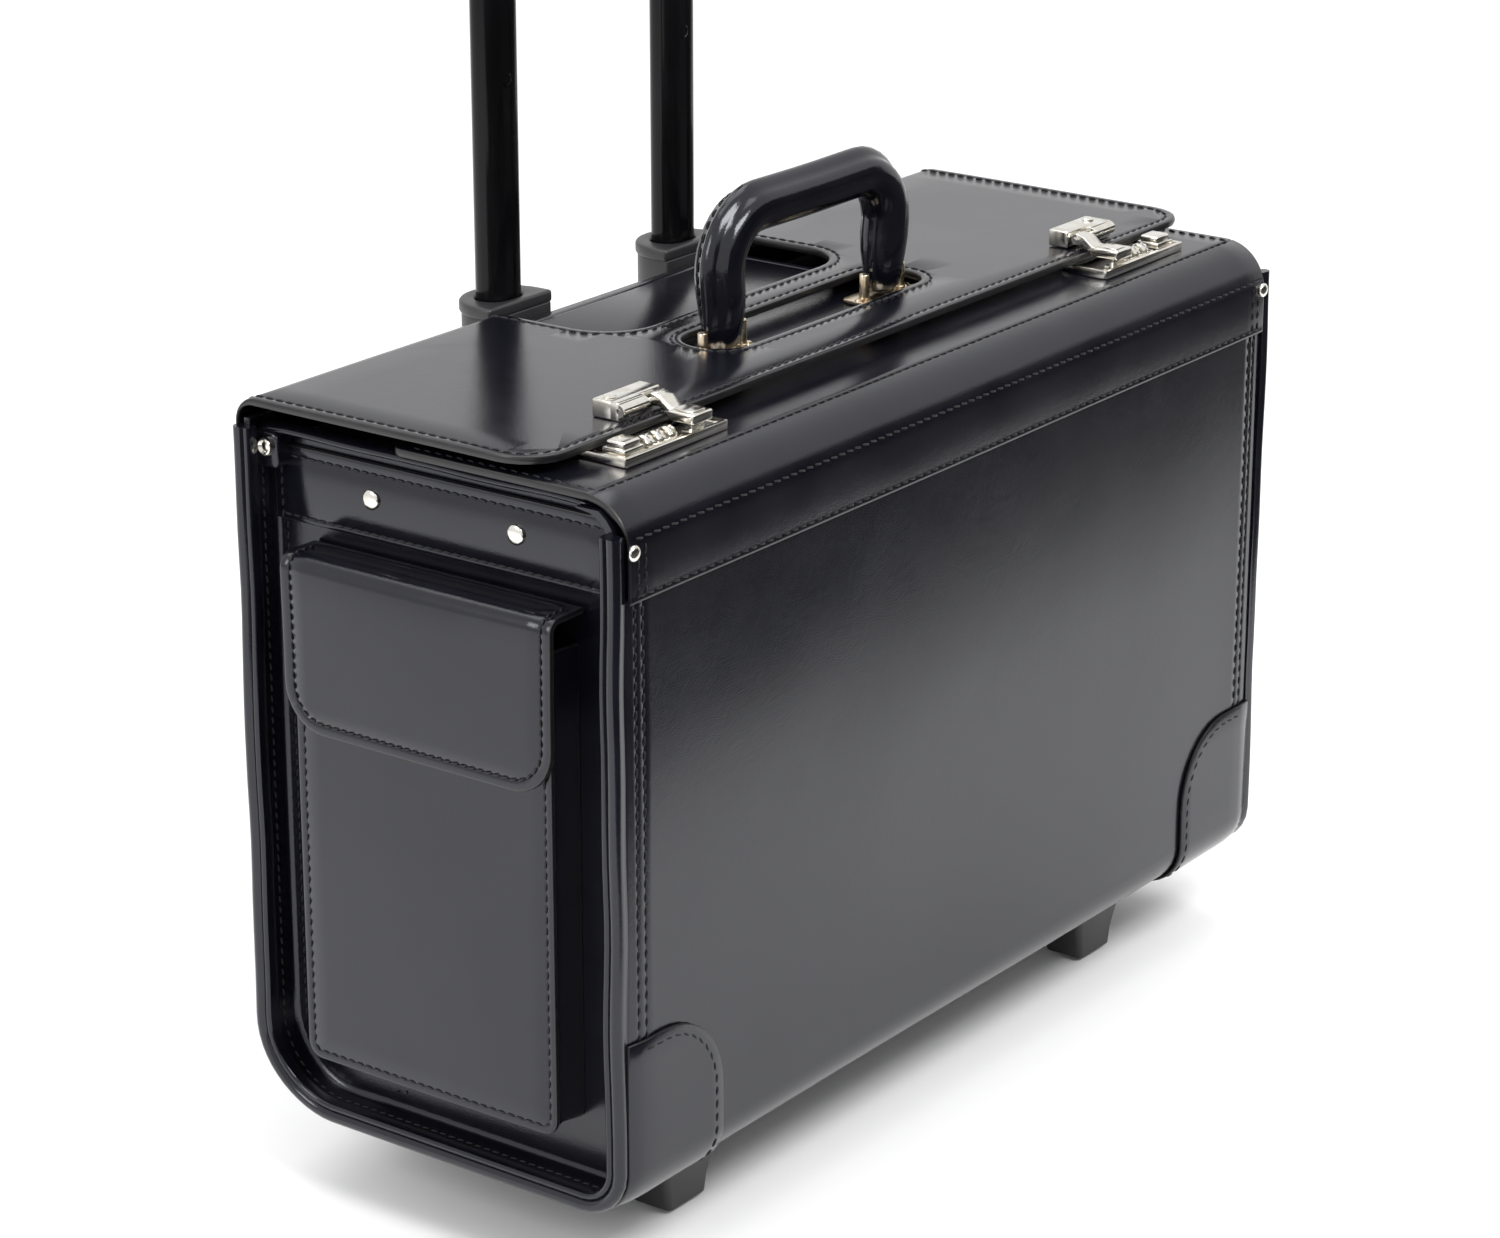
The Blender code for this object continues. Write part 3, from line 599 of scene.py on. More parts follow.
def prism(
    outline: Sequence[Point], low: float, high: float, round_off: float = 0.0, segments: int = 2
) -> bmesh.types.BMesh:
    """Extrude an outline from one height to another and round its sharp edges.

    Args:
        outline: the outline, in x and y.
        low: the lower height.
        high: the upper height.
        round_off: the rounding of its edges.
        segments: steps across the rounding.

    Returns:
        The solid.
    """
    bm = bmesh.new()
    face = bm.faces.new([bm.verts.new((a, b, low)) for a, b in outline])
    grown = bmesh.ops.extrude_face_region(bm, geom=[face])
    bmesh.ops.translate(bm, verts=new_verts(grown), vec=(0.0, 0.0, high - low))
    if round_off:
        soften(bm, round_off, segments)
    bmesh.ops.recalc_face_normals(bm, faces=bm.faces)
    return bm


def turned(profile: Sequence[Point], steps: int = 32) -> bmesh.types.BMesh:
    """Spin a (radius, height) profile about z.

    Args:
        profile: the profile, from axis to axis or closed on itself.
        steps: steps in the full turn.

    Returns:
        The solid.
    """
    bm = bmesh.new()
    verts = [bm.verts.new((r, 0.0, h)) for r, h in profile]
    edges = [bm.edges.new(pair) for pair in zip(verts, verts[1:])]
    if profile[0][0] > 0:
        edges.append(bm.edges.new((verts[-1], verts[0])))
    bmesh.ops.spin(
        bm, geom=verts + edges, cent=(0, 0, 0), axis=(0, 0, 1), angle=2 * pi, steps=steps, use_merge=True
    )
    bmesh.ops.remove_doubles(bm, verts=bm.verts, dist=1e-6)
    bmesh.ops.recalc_face_normals(bm, faces=bm.faces)
    return bm


def sweep(section: Sequence[Point], stations: Sequence[Matrix], looped: bool = False) -> bmesh.types.BMesh:
    """Carry a closed section through a row of places.

    Args:
        section: the section, in each station's first two axes.
        stations: the places, each a matrix.
        looped: whether the last station meets the first.

    Returns:
        The solid.
    """
    bm = bmesh.new()
    edges = ring_of(bm, [stations[0] @ Vector((a, b, 0.0)) for a, b in section])
    start = list(edges)
    for before, after in zip(stations, stations[1:]):
        grown = bmesh.ops.extrude_edge_only(bm, edges=edges)
        bmesh.ops.transform(bm, matrix=after @ before.inverted(), verts=new_verts(grown))
        ring = set(new_verts(grown))
        edges = [e for e in grown["geom"] if isinstance(e, bmesh.types.BMEdge) and set(e.verts) <= ring]
    if looped:
        bmesh.ops.remove_doubles(bm, verts=bm.verts, dist=1e-6)
    else:
        bmesh.ops.contextual_create(bm, geom=start)
        bmesh.ops.contextual_create(bm, geom=edges)
    bmesh.ops.recalc_face_normals(bm, faces=bm.faces)
    return bm


def station(place: Vector, across: Vector, up: Vector) -> Matrix:
    """Return the matrix of a section's place.

    Args:
        place: its middle.
        across: the direction of the section's first axis.
        up: the direction of its second axis.

    Returns:
        The matrix.
    """
    along = across.cross(up)
    return Matrix.LocRotScale(place, Matrix((across, up, along)).transposed().to_quaternion(), None)


def join(*parts: bmesh.types.BMesh) -> bmesh.types.BMesh:
    """Put several meshes in one.

    Args:
        parts: the meshes, which are freed.

    Returns:
        The one mesh.
    """
    whole = bmesh.new()
    for part in parts:
        carrier = bpy.data.meshes.new("carrier")
        part.to_mesh(carrier)
        part.free()
        whole.from_mesh(carrier)
        bpy.data.meshes.remove(carrier)
    return whole


def moved(bm: bmesh.types.BMesh, *steps: Matrix) -> bmesh.types.BMesh:
    """Apply matrices to a mesh, the last one first, and keep its faces outwards.

    Args:
        bm: the mesh.
        steps: the matrices.

    Returns:
        The same mesh.
    """
    whole = Matrix.Identity(4)
    for step in steps:
        whole = whole @ step
    bm.transform(whole)
    if whole.determinant() < 0:
        bmesh.ops.reverse_faces(bm, faces=bm.faces)
    return bm


def facing(side: Side) -> Matrix:
    """Return the matrix that stands a flat piece on an end: its x runs along y, y up, height outwards."""
    return Matrix(((0, 0, side.value, 0), (1, 0, 0, 0), (0, 1, 0, 0), (0, 0, 0, 1)))


@dataclass(frozen=True)
class Ride:
    """What a piece moves with: a body; a piece given a second body is only baked in place and does not
    bend.
    """

    body: str
    bends_to: str = ""
    start: Point = (0.0, 0.0)
    end: Point = (0.0, 0.0)

    def attach(self, piece: bpy.types.Object) -> None:
        """Let a piece ride on its body; a piece given a second body only has its transform baked, and is
        not bent.

        Args:
            piece: the piece.
        """
        if not self.bends_to:
            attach(piece, self.body)
            return
        low = Vector((0.0, *self.start)) + SHIFT
        high = Vector((0.0, *self.end)) + SHIFT
        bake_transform(piece)


def bench(
    name: str,
    bm: bmesh.types.BMesh,
    finishes: Sequence[Finish],
    ride: Ride,
    replaces: Sequence[str] = (),
    smooth: float = 40.0,
) -> bpy.types.Object:
    """Finish a piece: move its mesh into the frame, give it its finishes and let it ride.

    Args:
        name: the piece's name.
        bm: its mesh in the case's coordinates, which is freed.
        finishes: its finishes, by material index.
        ride: what it moves with.
        replaces: the CAD nodes that it stands for.
        smooth: edges that turn less than this many degrees are shaded smooth.

    Returns:
        The piece.
    """
    bm.transform(Matrix.Translation(SHIFT))
    mesh = bpy.data.meshes.new(name)
    bm.to_mesh(mesh)
    bm.free()
    mesh.shade_smooth()
    mesh.set_sharp_from_angle(angle=radians(smooth))
    for finish in finishes:
        mesh.materials.append(finish.material)
    piece = bpy.data.objects.new(name, mesh)
    bpy.context.scene.collection.objects.link(piece)
    ride.attach(piece)
    if replaces:
        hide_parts(*replaces)
    log.info("%s: %d faces", name, len(mesh.polygons))
    return piece


CASE = Ride("case")


@dataclass
class Blank:
    """A flat blank of leather: outline, holes, thickness, pressed stitch channels and cuts."""

    outline: Sequence[Point]
    thickness: float
    holes: Sequence[Sequence[Point]] = ()
    channels: tuple[float, ...] = ()
    grooves_a: Sequence[float] = ()
    grooves_b: Sequence[float] = ()
    cuts_a: Sequence[float] = ()
    cuts_b: Sequence[float] = ()
    edge_round: float = 0.0008
    channel_half: float = 0.0008
    channel_depth: float = 0.00035

    def cut(self) -> bmesh.types.BMesh:
        """Cut the blank, its grain side up at height 0, with the edge as material 1.

        Returns:
            The flat solid.
        """
        bm = bmesh.new()
        rims = [
            ring_of(bm, [Vector((a, b, 0.0)) for a, b in points]) for points in (self.outline, *self.holes)
        ]
        if self.holes:
            bmesh.ops.triangle_fill(
                bm, use_beauty=True, edges=[e for rim in rims for e in rim], normal=(0, 0, 1)
            )
        else:
            bmesh.ops.contextual_create(bm, geom=rims[0])
        if bm.faces[:][0].normal.z < 0:
            bmesh.ops.reverse_faces(bm, faces=bm.faces)
        self._press_channels(bm)
        self._press_grooves(bm, self.grooves_a, 0)
        self._press_grooves(bm, self.grooves_b, 1)
        grown = bmesh.ops.extrude_face_region(bm, geom=bm.faces[:])
        bmesh.ops.translate(bm, verts=new_verts(grown), vec=(0.0, 0.0, -self.thickness))
        bmesh.ops.recalc_face_normals(bm, faces=bm.faces)
        self._round_edge(bm)
        for places, axis in ((self.cuts_a, 0), (self.cuts_b, 1)):
            for place in places:
                self._slice(bm, place, axis)
        return bm

    def _press_channels(self, bm: bmesh.types.BMesh) -> None:
        """Press the channels that follow the outline.

        Args:
            bm: the flat mesh.
        """
        inner = bm.faces[:]
        reached = 0.0
        for place in self.channels:
            near = place - self.channel_half
            for width, depth in (
                (near - reached, 0.0), (
                    self.channel_half, -self.channel_depth
                ), (self.channel_half, self.channel_depth)
            ):
                bmesh.ops.inset_region(
                    bm, faces=inner, thickness=width, depth=depth, use_boundary=True, use_even_offset=True
                )
            reached = place + self.channel_half

    def _slice(self, bm: bmesh.types.BMesh, place: float, axis: int) -> None:
        """Cut all faces along a straight line, without parting them.

        Args:
            bm: the mesh.
            place: where, along the axis.
            axis: 0 for the first coordinate, 1 for the second.
        """
        normal = Vector((1 - axis, axis, 0))
        bmesh.ops.bisect_plane(
            bm, geom=bm.verts[:] + bm.edges[:] + bm.faces[
                :
            ], dist=1e-7, plane_co=normal * place, plane_no=normal
        )

    def _press_grooves(self, bm: bmesh.types.BMesh, places: Sequence[float], axis: int) -> None:
        """Press straight channels across the blank.

        Args:
            bm: the flat mesh.
            places: where they run.
            axis: the coordinate that places are given in.
        """
        for place in places:
            for offset in (-self.channel_half, 0.0, self.channel_half):
                self._slice(bm, place + offset, axis)
            for vert in bm.verts:
                if abs(vert.co[axis] - place) < self.channel_half / 10:
                    vert.co.z -= self.channel_depth

    def _round_edge(self, bm: bmesh.types.BMesh) -> None:
        """Round the cut edge and mark it as material 1.

        Args:
            bm: the solid blank.
        """
        steep = 0.2
        walls = {f for f in bm.faces if abs(f.normal.z) < steep}
        rim = [e for e in bm.edges if len(e.link_faces) == 2 and len(walls & set(e.link_faces)) == 1]
        made = bmesh.ops.bevel(
            bm, geom=rim, offset=self.edge_round, segments=2, profile=0.5, affect="EDGES", material=-1
        )
        for face in made["faces"]:
            face.material_index = 1
        for face in bm.faces:
            if abs(face.normal.z) < steep:
                face.material_index = 1


@dataclass(frozen=True)
class Run:
    """One stretch of a folded line: straight, or turning by a number of degrees."""

    length: float
    turn: float = 0.0


@dataclass(frozen=True)
class Fold:
    """A line in a plane, made of runs, on which a sheet is laid."""

    start: Point
    heading: float
    runs: tuple[Run, ...]
    outward: float = -90.0

    def at(self, s: float) -> tuple[Point, Point]:
        """Return the point and the outward direction at a distance along the line.

        Args:
            s: the distance.

        Returns:
            The point and the unit direction.
        """
        (a, b), heading, left = self.start, radians(self.heading), s
        for i, run in enumerate(self.runs):
            step = left if i == len(self.runs) - 1 else min(left, run.length)
            turn = radians(run.turn) * (step / run.length)
            chord = step * (sin(turn / 2) / (turn / 2) if turn else 1.0)
            a += chord * cos(heading + turn / 2)
            b += chord * sin(heading + turn / 2)
            heading += turn
            left -= step
            if left <= 0 and i < len(self.runs) - 1:
                break
        out = heading + radians(self.outward)
        return (a, b), (cos(out), sin(out))

    def bend(self, x: float, s: float, height: float) -> Vector:
        """Lay a point of a flat sheet on the line.

        Args:
            x: its place across the sheet.
            s: its distance along the line.
            height: its height over the sheet's face.

        Returns:
            The point.
        """
        (a, b), (out_a, out_b) = self.at(s)
        return Vector((x, a + out_a * height, b + out_b * height))

    def curved(self, spacing: float) -> list[float]:
        """Return distances at which a sheet is cut so that it bends smoothly.

        Args:
            spacing: the step on the arcs.

        Returns:
            The distances.
        """
        places, reached = [], 0.0
        for run in self.runs:
            step = spacing if run.turn else run.length
            count = max(1, round(run.length / step))
            places += [reached + run.length * i / count for i in range(count)]
            reached += run.length
        return places[1:]


def even(low: float, high: float, step: float) -> list[float]:
    """Return evenly spaced places between two limits, both left out.

    Args:
        low: the lower limit.
        high: the upper limit.
        step: the wanted spacing.

    Returns:
        The places.
    """
    count = max(1, round((high - low) / step))
    return [low + (high - low) * i / count for i in range(1, count)]


def laid(bm: bmesh.types.BMesh, lay: Mapping) -> bmesh.types.BMesh:
    """Move every point of a flat piece to its place.

    Args:
        bm: the flat piece.
        lay: gives the place of (x, s, height).

    Returns:
        The same mesh, with its faces outwards.
    """
    for vert in bm.verts:
        vert.co = lay(*vert.co)
    bmesh.ops.recalc_face_normals(bm, faces=bm.faces)
    return bm


def ripple(place: Vector, height: float, length: float = 0.085) -> float:
    """Return the gentle unevenness of a hand-made sheet.

    Args:
        place: a point on it.
        height: the most that it strays.
        length: the distance between its waves.

    Returns:
        The offset.
    """
    return noise.noise(place / length) * height


@dataclass
class Thread:
    """Sews rows of stitches into one mesh."""

    pitch: float = 0.0056
    length: float = 0.0045
    half_w: float = 0.00050
    slant: float = 9.0
    placed: list[tuple[Vector, Vector, Mapping, float]] = field(default_factory=list)

    def pattern(self) -> bmesh.types.BMesh:
        """Shape one stitch: a short cord whose ends dive into the leather."""
        shape = [(-0.5, 0.35, -0.00055), (-0.40, 0.9, -0.0001), (-0.15, 1.0, 0.00012)]
        shape += [(-x, size, z) for x, size, z in reversed(shape)]
        sides = [(cos(2 * pi * k / 6) * self.half_w, sin(2 * pi * k / 6) * self.half_w) for k in range(6)]
        turn = Matrix.Rotation(radians(self.slant), 4, "Z")
        stations = [
            turn @ Matrix.Translation(
                (x * self.length, 0.0, z)
            ) @ ALONG_X @ Matrix.Scale(size, 4)
            for x, size, z in shape
        ]
        return sweep(sides, stations)

    def sew(self, line: Sequence[Point], lay: Mapping, closed: bool = False, lift: float = -0.0001) -> None:
        """Sew a row along a line on a flat sheet.

        Args:
            line: the line, in the flat sheet's coordinates.
            lay: gives the place of (x, s, height).
            closed: whether the line closes on itself.
            lift: the thread's height over the sheet.
        """
        points = [Vector(p) for p in line] + ([Vector(line[0])] if closed else [])
        steps = [(b - a).length for a, b in zip(points, points[1:])]
        count = max(1, round(sum(steps) / self.pitch))
        pitch = sum(steps) / count
        for i in range(count):
            left, k = pitch * (i + 0.5), 0
            while left > steps[k] and k < len(steps) - 1:
                left -= steps[k]
                k += 1
            along = (points[k + 1] - points[k]).normalized()
            self.placed.append((points[k] + along * left, along, lay, lift))

    def finish(self, name: str, ride: Ride, slot: str) -> bpy.types.Object:
        """Copy the pattern stitch to every place and finish the rows as one piece.

        Args:
            name: the piece's name.
            ride: what it moves with.
            slot: the record's material slot; not used.

        Returns:
            The piece.
        """
        bm = self.pattern()
        size, made = len(bm.verts), 1
        while made < len(self.placed):
            bmesh.ops.duplicate(bm, geom=bm.verts[:] + bm.edges[:] + bm.faces[:])
            made *= 2
        verts = bm.verts[:]
        bmesh.ops.delete(bm, geom=verts[size * len(self.placed) :], context="VERTS")
        for i, (middle, along, lay, lift) in enumerate(self.placed):
            for vert in verts[size * i : size * (i + 1)]:
                x, y, z = vert.co
                vert.co = lay(
                    middle.x + along.x * x - along.y * y, middle.y + along.y * x + along.x * y, z + lift
                )
        bmesh.ops.recalc_face_normals(bm, faces=bm.faces)
        return bench(name, bm, [Finish.THREAD], ride, smooth=80.0)


# The leather body ----------------------------------------------------------------------------


def body_fold(inset: float, front_top: float, rear_top: float) -> Fold:
    """Return the body's U seen from the left, from the front's top to the rear's top.

    Args:
        inset: how far inside the wrap's face it lies.
        front_top: z at which it starts.
        rear_top: z at which it ends.

    Returns:
        The fold, in y and z.
    """
    quarter = pi / 2
    flat = 2 * HALF_D - FRONT_RADIUS - REAR_RADIUS
    runs = (
        Run(front_top - FRONT_RADIUS),
        Run(quarter * (FRONT_RADIUS - inset), 90.0),
        Run(flat),
        Run(quarter * (REAR_RADIUS - inset), 90.0),
        Run(rear_top - REAR_RADIUS),
    )
    return Fold((-HALF_D + inset, front_top), 270.0, runs)


def run_length(fold: Fold) -> float:
    """Return a fold's whole length."""
    return sum(run.length for run in fold.runs)


@dataclass(frozen=True)
class Wrap:
    """The sheet that makes the front, the bottom and the back, with its seams and corner patches."""

    front_top: float = 0.2840
    rear_top: float = 0.2990
    seams: tuple[float, float] = (0.2280, 0.2325)
    roll_off: float = 0.0016
    roll_width: float = 0.0170
    sway: float = 0.0011

    @cached_property
    def fold(self) -> Fold:
        """The line that the sheet follows."""
        return body_fold(0.0, self.front_top, self.rear_top)

    def lay(self, x: float, s: float, height: float) -> Vector:
        """Place a point of the flat sheet, with the sheet's roll-off at its ends and its sway."""
        place = self.fold.bend(x, s, 0.0)
        inside = max(0.0, abs(x) - HALF_W + self.roll_width) / self.roll_width
        calm = 1.0 - inside
        sag = self.roll_off * inside**2 - ripple(place, self.sway * calm, 0.16)
        return self.fold.bend(x, s, height - max(0.0, sag))

    def build(self) -> None:
        """Build the sheet, its seams and the two corner patches."""
        length = run_length(self.fold)
        blank = Blank(
            [(-HALF_W, 0.0), (HALF_W, 0.0), (HALF_W, length), (-HALF_W, length)],
            LEATHER,
            grooves_a=[side.value * x for side in Side for x in self.seams],
            cuts_a=even(-HALF_W, HALF_W, 0.016) + [
                s * (HALF_W - d) for s in (-1, 1) for d in (0.003, 0.0055, 0.017)
            ],
            cuts_b=sorted(self.fold.curved(0.004) + even(0.0, 0.26, 0.016) + even(0.49, length, 0.016)),
        )
        bench(
            "wrap_sheet", laid(blank.cut(), self.lay), [Finish.LEATHER, Finish.EDGE], CASE,
            ["case_wrap"]
        )
        thread = Thread(pitch=0.0059, length=0.0044)
        covered = 0.0275
        for side in Side:
            for x in self.seams:
                thread.sew([(side.value * x, covered), (side.value * x, length - 0.003)], self.lay)
            self._patch(side, thread)
        thread.finish("wrap_seams", CASE, "black_leather")

    def _patch(self, side: Side, thread: Thread) -> None:
        """Build one corner patch over the sheet.

        Args:
            side: the end it is at.
            thread: the thread that sews it.
        """
        low, high = cad(f"{side.label}_corner_patch")
        radius, lift = 0.038, 0.0018
        inner, _ = span(low, high)
        top = self.front_top - high.z
        end = self.front_top - FRONT_RADIUS + pi / 2 * FRONT_RADIUS + high.y + HALF_D - FRONT_RADIUS
        corner = arc((inner + radius, top + radius), radius, 180, 270, 10)
        outline = [(side.value * a, b) for a, b in [(inner, end), *corner, (HALF_W, top), (HALF_W, end)]]
        blank = Blank(
            outline,
            0.0016,
            cuts_a=[side.value * a for a in even(inner, HALF_W, 0.009)],
            cuts_b=self.fold.curved(0.003)[: 12] + even(top, self.front_top - FRONT_RADIUS, 0.012),
            edge_round=0.0005,
        )

        def over(x: float, s: float, height: float) -> Vector:
            """Place a point on the patch's grain side."""
            return self.lay(x, s, height + lift)

        bench(
            f"{side.label}_patch", laid(blank.cut(), over), [
                Finish.TRIM, Finish.EDGE
            ], CASE,
            [f"{side.label}_corner_patch"],
        )
        inset = 0.0045
        row = [(inner + inset, end - 0.002)] + arc(
            (inner + radius, top + radius), radius - inset, 180, 270, 12
        )
        row.append((HALF_W - 0.0095, top + inset))
        thread.sew([(side.value * a, b) for a, b in row], over)


@dataclass(frozen=True)
class FrontSheet:
    """The sheet of the top's front half, which rolls over the front edge and ends on the front."""

    roll_radius: float = 0.0214
    foot_z: float = 0.2585
    skived: float = 0.34
    pitch: float = 0.0055

    @cached_property
    def flat_length(self) -> float:
        """How far the sheet lies flat on the top."""
        _, high = cad("front_flap")
        return high.y + HALF_D - FRONT_RADIUS

    @cached_property
    def fold(self) -> Fold:
        """The line that the sheet follows."""
        _, high = cad("front_flap")
        drop = high.z - self.roll_radius - self.foot_z
        runs = (Run(self.flat_length), Run(pi / 2 * self.roll_radius, 90.0), Run(drop))
        return Fold((high.y, high.z), 180.0, runs)

    def lay(self, x: float, s: float, height: float) -> Vector:
        """Place a point of the flat sheet, which is skived thin below the roll."""
        place = self.fold.bend(x, s, 0.0)
        past = min(1.0, max(0.0, (s - self.flat_length - 0.012) / 0.014))
        thin = 1.0 - (1.0 - self.skived) * past * past * (3 - 2 * past)
        wave = ripple(place + Vector((3.0, 0, 0)), 0.0006, 0.11)
        return self.fold.bend(x, s, (height * thin if height < 0 else height) + wave * min(1.0, past + 0.2))

    def build(self) -> None:
        """Build the sheet and its stitch rows."""
        _, high = cad("front_flap")
        half, length = high.x, run_length(self.fold)
        r = 0.005
        outline = [
            (half, length), *arc((half - r, r), r, 0, -90, 3), *arc((r - half, r), r, -90, -180, 3),
            (-half, length)
        ]
        roll_row = self.flat_length + 0.0030
        lower_row = self.fold_place(0.2838)
        blank = Blank(
            outline[::-1],
            LEATHER,
            grooves_b=[roll_row, lower_row, length - 0.0025],
            cuts_a=even(-half, half, 0.016),
            cuts_b=self.fold.curved(0.0022) + even(0.0, self.flat_length, 0.016),
            edge_round=0.0009,
        )
        ride = Ride("case", "front_flap", (-0.088, high.z), (-0.066, high.z))
        mesh = laid(blank.cut(), self.lay)
        bench("front_sheet", mesh, [Finish.LEATHER, Finish.EDGE], ride, ["front_flap"])
        thread = Thread(pitch=self.pitch, length=0.0043)
        reach = 0.2335
        for row in (roll_row, lower_row, length - 0.0025):
            thread.sew([(-reach, row), (reach, row)], self.lay)
        for side in Side:
            edge = side.value * (half - 0.0042)
            thread.sew([(edge, 0.008), (edge, roll_row)], self.lay)
            for x in (0.2280, 0.2325):
                thread.sew(
                    [(side.value * x, lower_row + 0.002), (side.value * x, length - 0.001)], self.lay
                )
        thread.finish("front_sheet_stitches", ride, "black_leather")

    def fold_place(self, z: float) -> float:
        """Return the distance along the fold at which the front reaches a height.

        Args:
            z: the height.
        """
        return run_length(self.fold) - (z - self.foot_z)


@dataclass(frozen=True)
class LidSheet:
    """The lid: a sheet with a slot for the handle and a cut-out for the trolley, folded over the rear."""

    front_corner: float = 0.020
    cut_half: float = 0.084
    cut_front: float = 0.027
    cut_corner: float = 0.024
    tail_corner: float = 0.006
    rear_roll: float = 0.0108
    tail_z: float = 0.2620
    slot_half: Point = (0.0765, 0.0155)
    slot_y: float = -0.008
    row: float = 0.0044

    @cached_property
    def fold(self) -> Fold:
        """The line that the sheet follows, from its front edge."""
        low, high = cad("lid")
        runs = (
            Run(0.0880 - low.y),
            Run(pi / 2 * self.rear_roll, -90.0),
            Run(high.z - self.rear_roll - self.tail_z),
        )
        return Fold((low.y, high.z), 0.0, runs, outward=90.0)

    def lay(self, x: float, s: float, height: float) -> Vector:
        """Place a point of the flat sheet, which is skived where it folds down."""
        place = self.fold.bend(x, s, 0.0)
        bend = min(1.0, max(0.0, (s - self.fold.runs[0].length) / 0.012))
        thin = 1.0 - 0.57 * bend
        wave = ripple(place, 0.0006 * (1 - bend), 0.12)
        return self.fold.bend(x, s, (height * thin if height < 0 else height) + wave)

    def outline(self, inset: float = 0.0) -> list[Point]:
        """Return the flat outline, or a line inside it.

        Args:
            inset: how far inside.
        """
        low, high = cad("lid")
        half, end = high.x - inset, run_length(self.fold) - inset
        cut, cut_s = self.cut_half + inset, self.cut_front - low.y - inset
        front, tail = self.front_corner - inset, max(0.001, self.tail_corner - inset)
        inner = self.cut_corner + inset
        right = arc((half - front, inset + front), front, -90, 0, 6)
        right += arc((half - tail, end - tail), tail, 0, 90, 3)
        right += arc((cut + tail, end - tail), tail, 90, 180, 3)
        right += arc((cut - inner, cut_s + inner), inner, 0, -90, 8)
        return right + [(-x, s) for x, s in reversed(right)]

    def slot(self, grow: float = 0.0) -> list[Point]:
        """Return the slot's outline, or a line round it.

        Args:
            grow: how far outside it.
        """
        low, _ = cad("lid")
        half_x, half_s = self.slot_half[0] + grow, self.slot_half[1] + grow
        return rounded(half_x, half_s, half_s - 0.0003, (0.0, self.slot_y - low.y), 8)

    def build(self) -> None:
        """Build the sheet and its stitch rows."""
        _, high = cad("lid")
        blank = Blank(
            self.outline(),
            LEATHER,
            holes=[self.slot()],
            channels=(self.row,),
            cuts_a=even(-high.x, high.x, 0.020),
            cuts_b=self.fold.curved(0.0022) + even(0.0, 0.144, 0.018),
            edge_round=0.0011,
        )
        ride = Ride("case", "lid", (0.0985, high.z), (0.085, high.z))
        bench(
            "lid_sheet", laid(blank.cut(), self.lay), [Finish.LEATHER, Finish.EDGE], ride,
            ["lid"]
        )
        thread = Thread(pitch=0.0053, length=0.0042)
        thread.sew(self.outline(self.row), self.lay, closed=True)
        thread.sew(self.slot(self.row), self.lay, closed=True)
        thread.finish("lid_stitches", ride, "black_leather")


# The ends ------------------------------------------------------------------------------------


def dome(radius: float, height: float) -> list[Point]:
    """Return the profile of a low rivet head.

    Args:
        radius: its radius.
        height: its height.
    """
    rim = height * 0.28
    curve = [(radius * cos(t), rim + (height - rim) * sin(t)) for t in (0.0, 0.35, 0.7, 1.05, 1.35)]
    return [(0.0, -0.0006), (radius * 0.96, -0.0006), (radius, rim * 0.4), *curve, (0.0, height)]


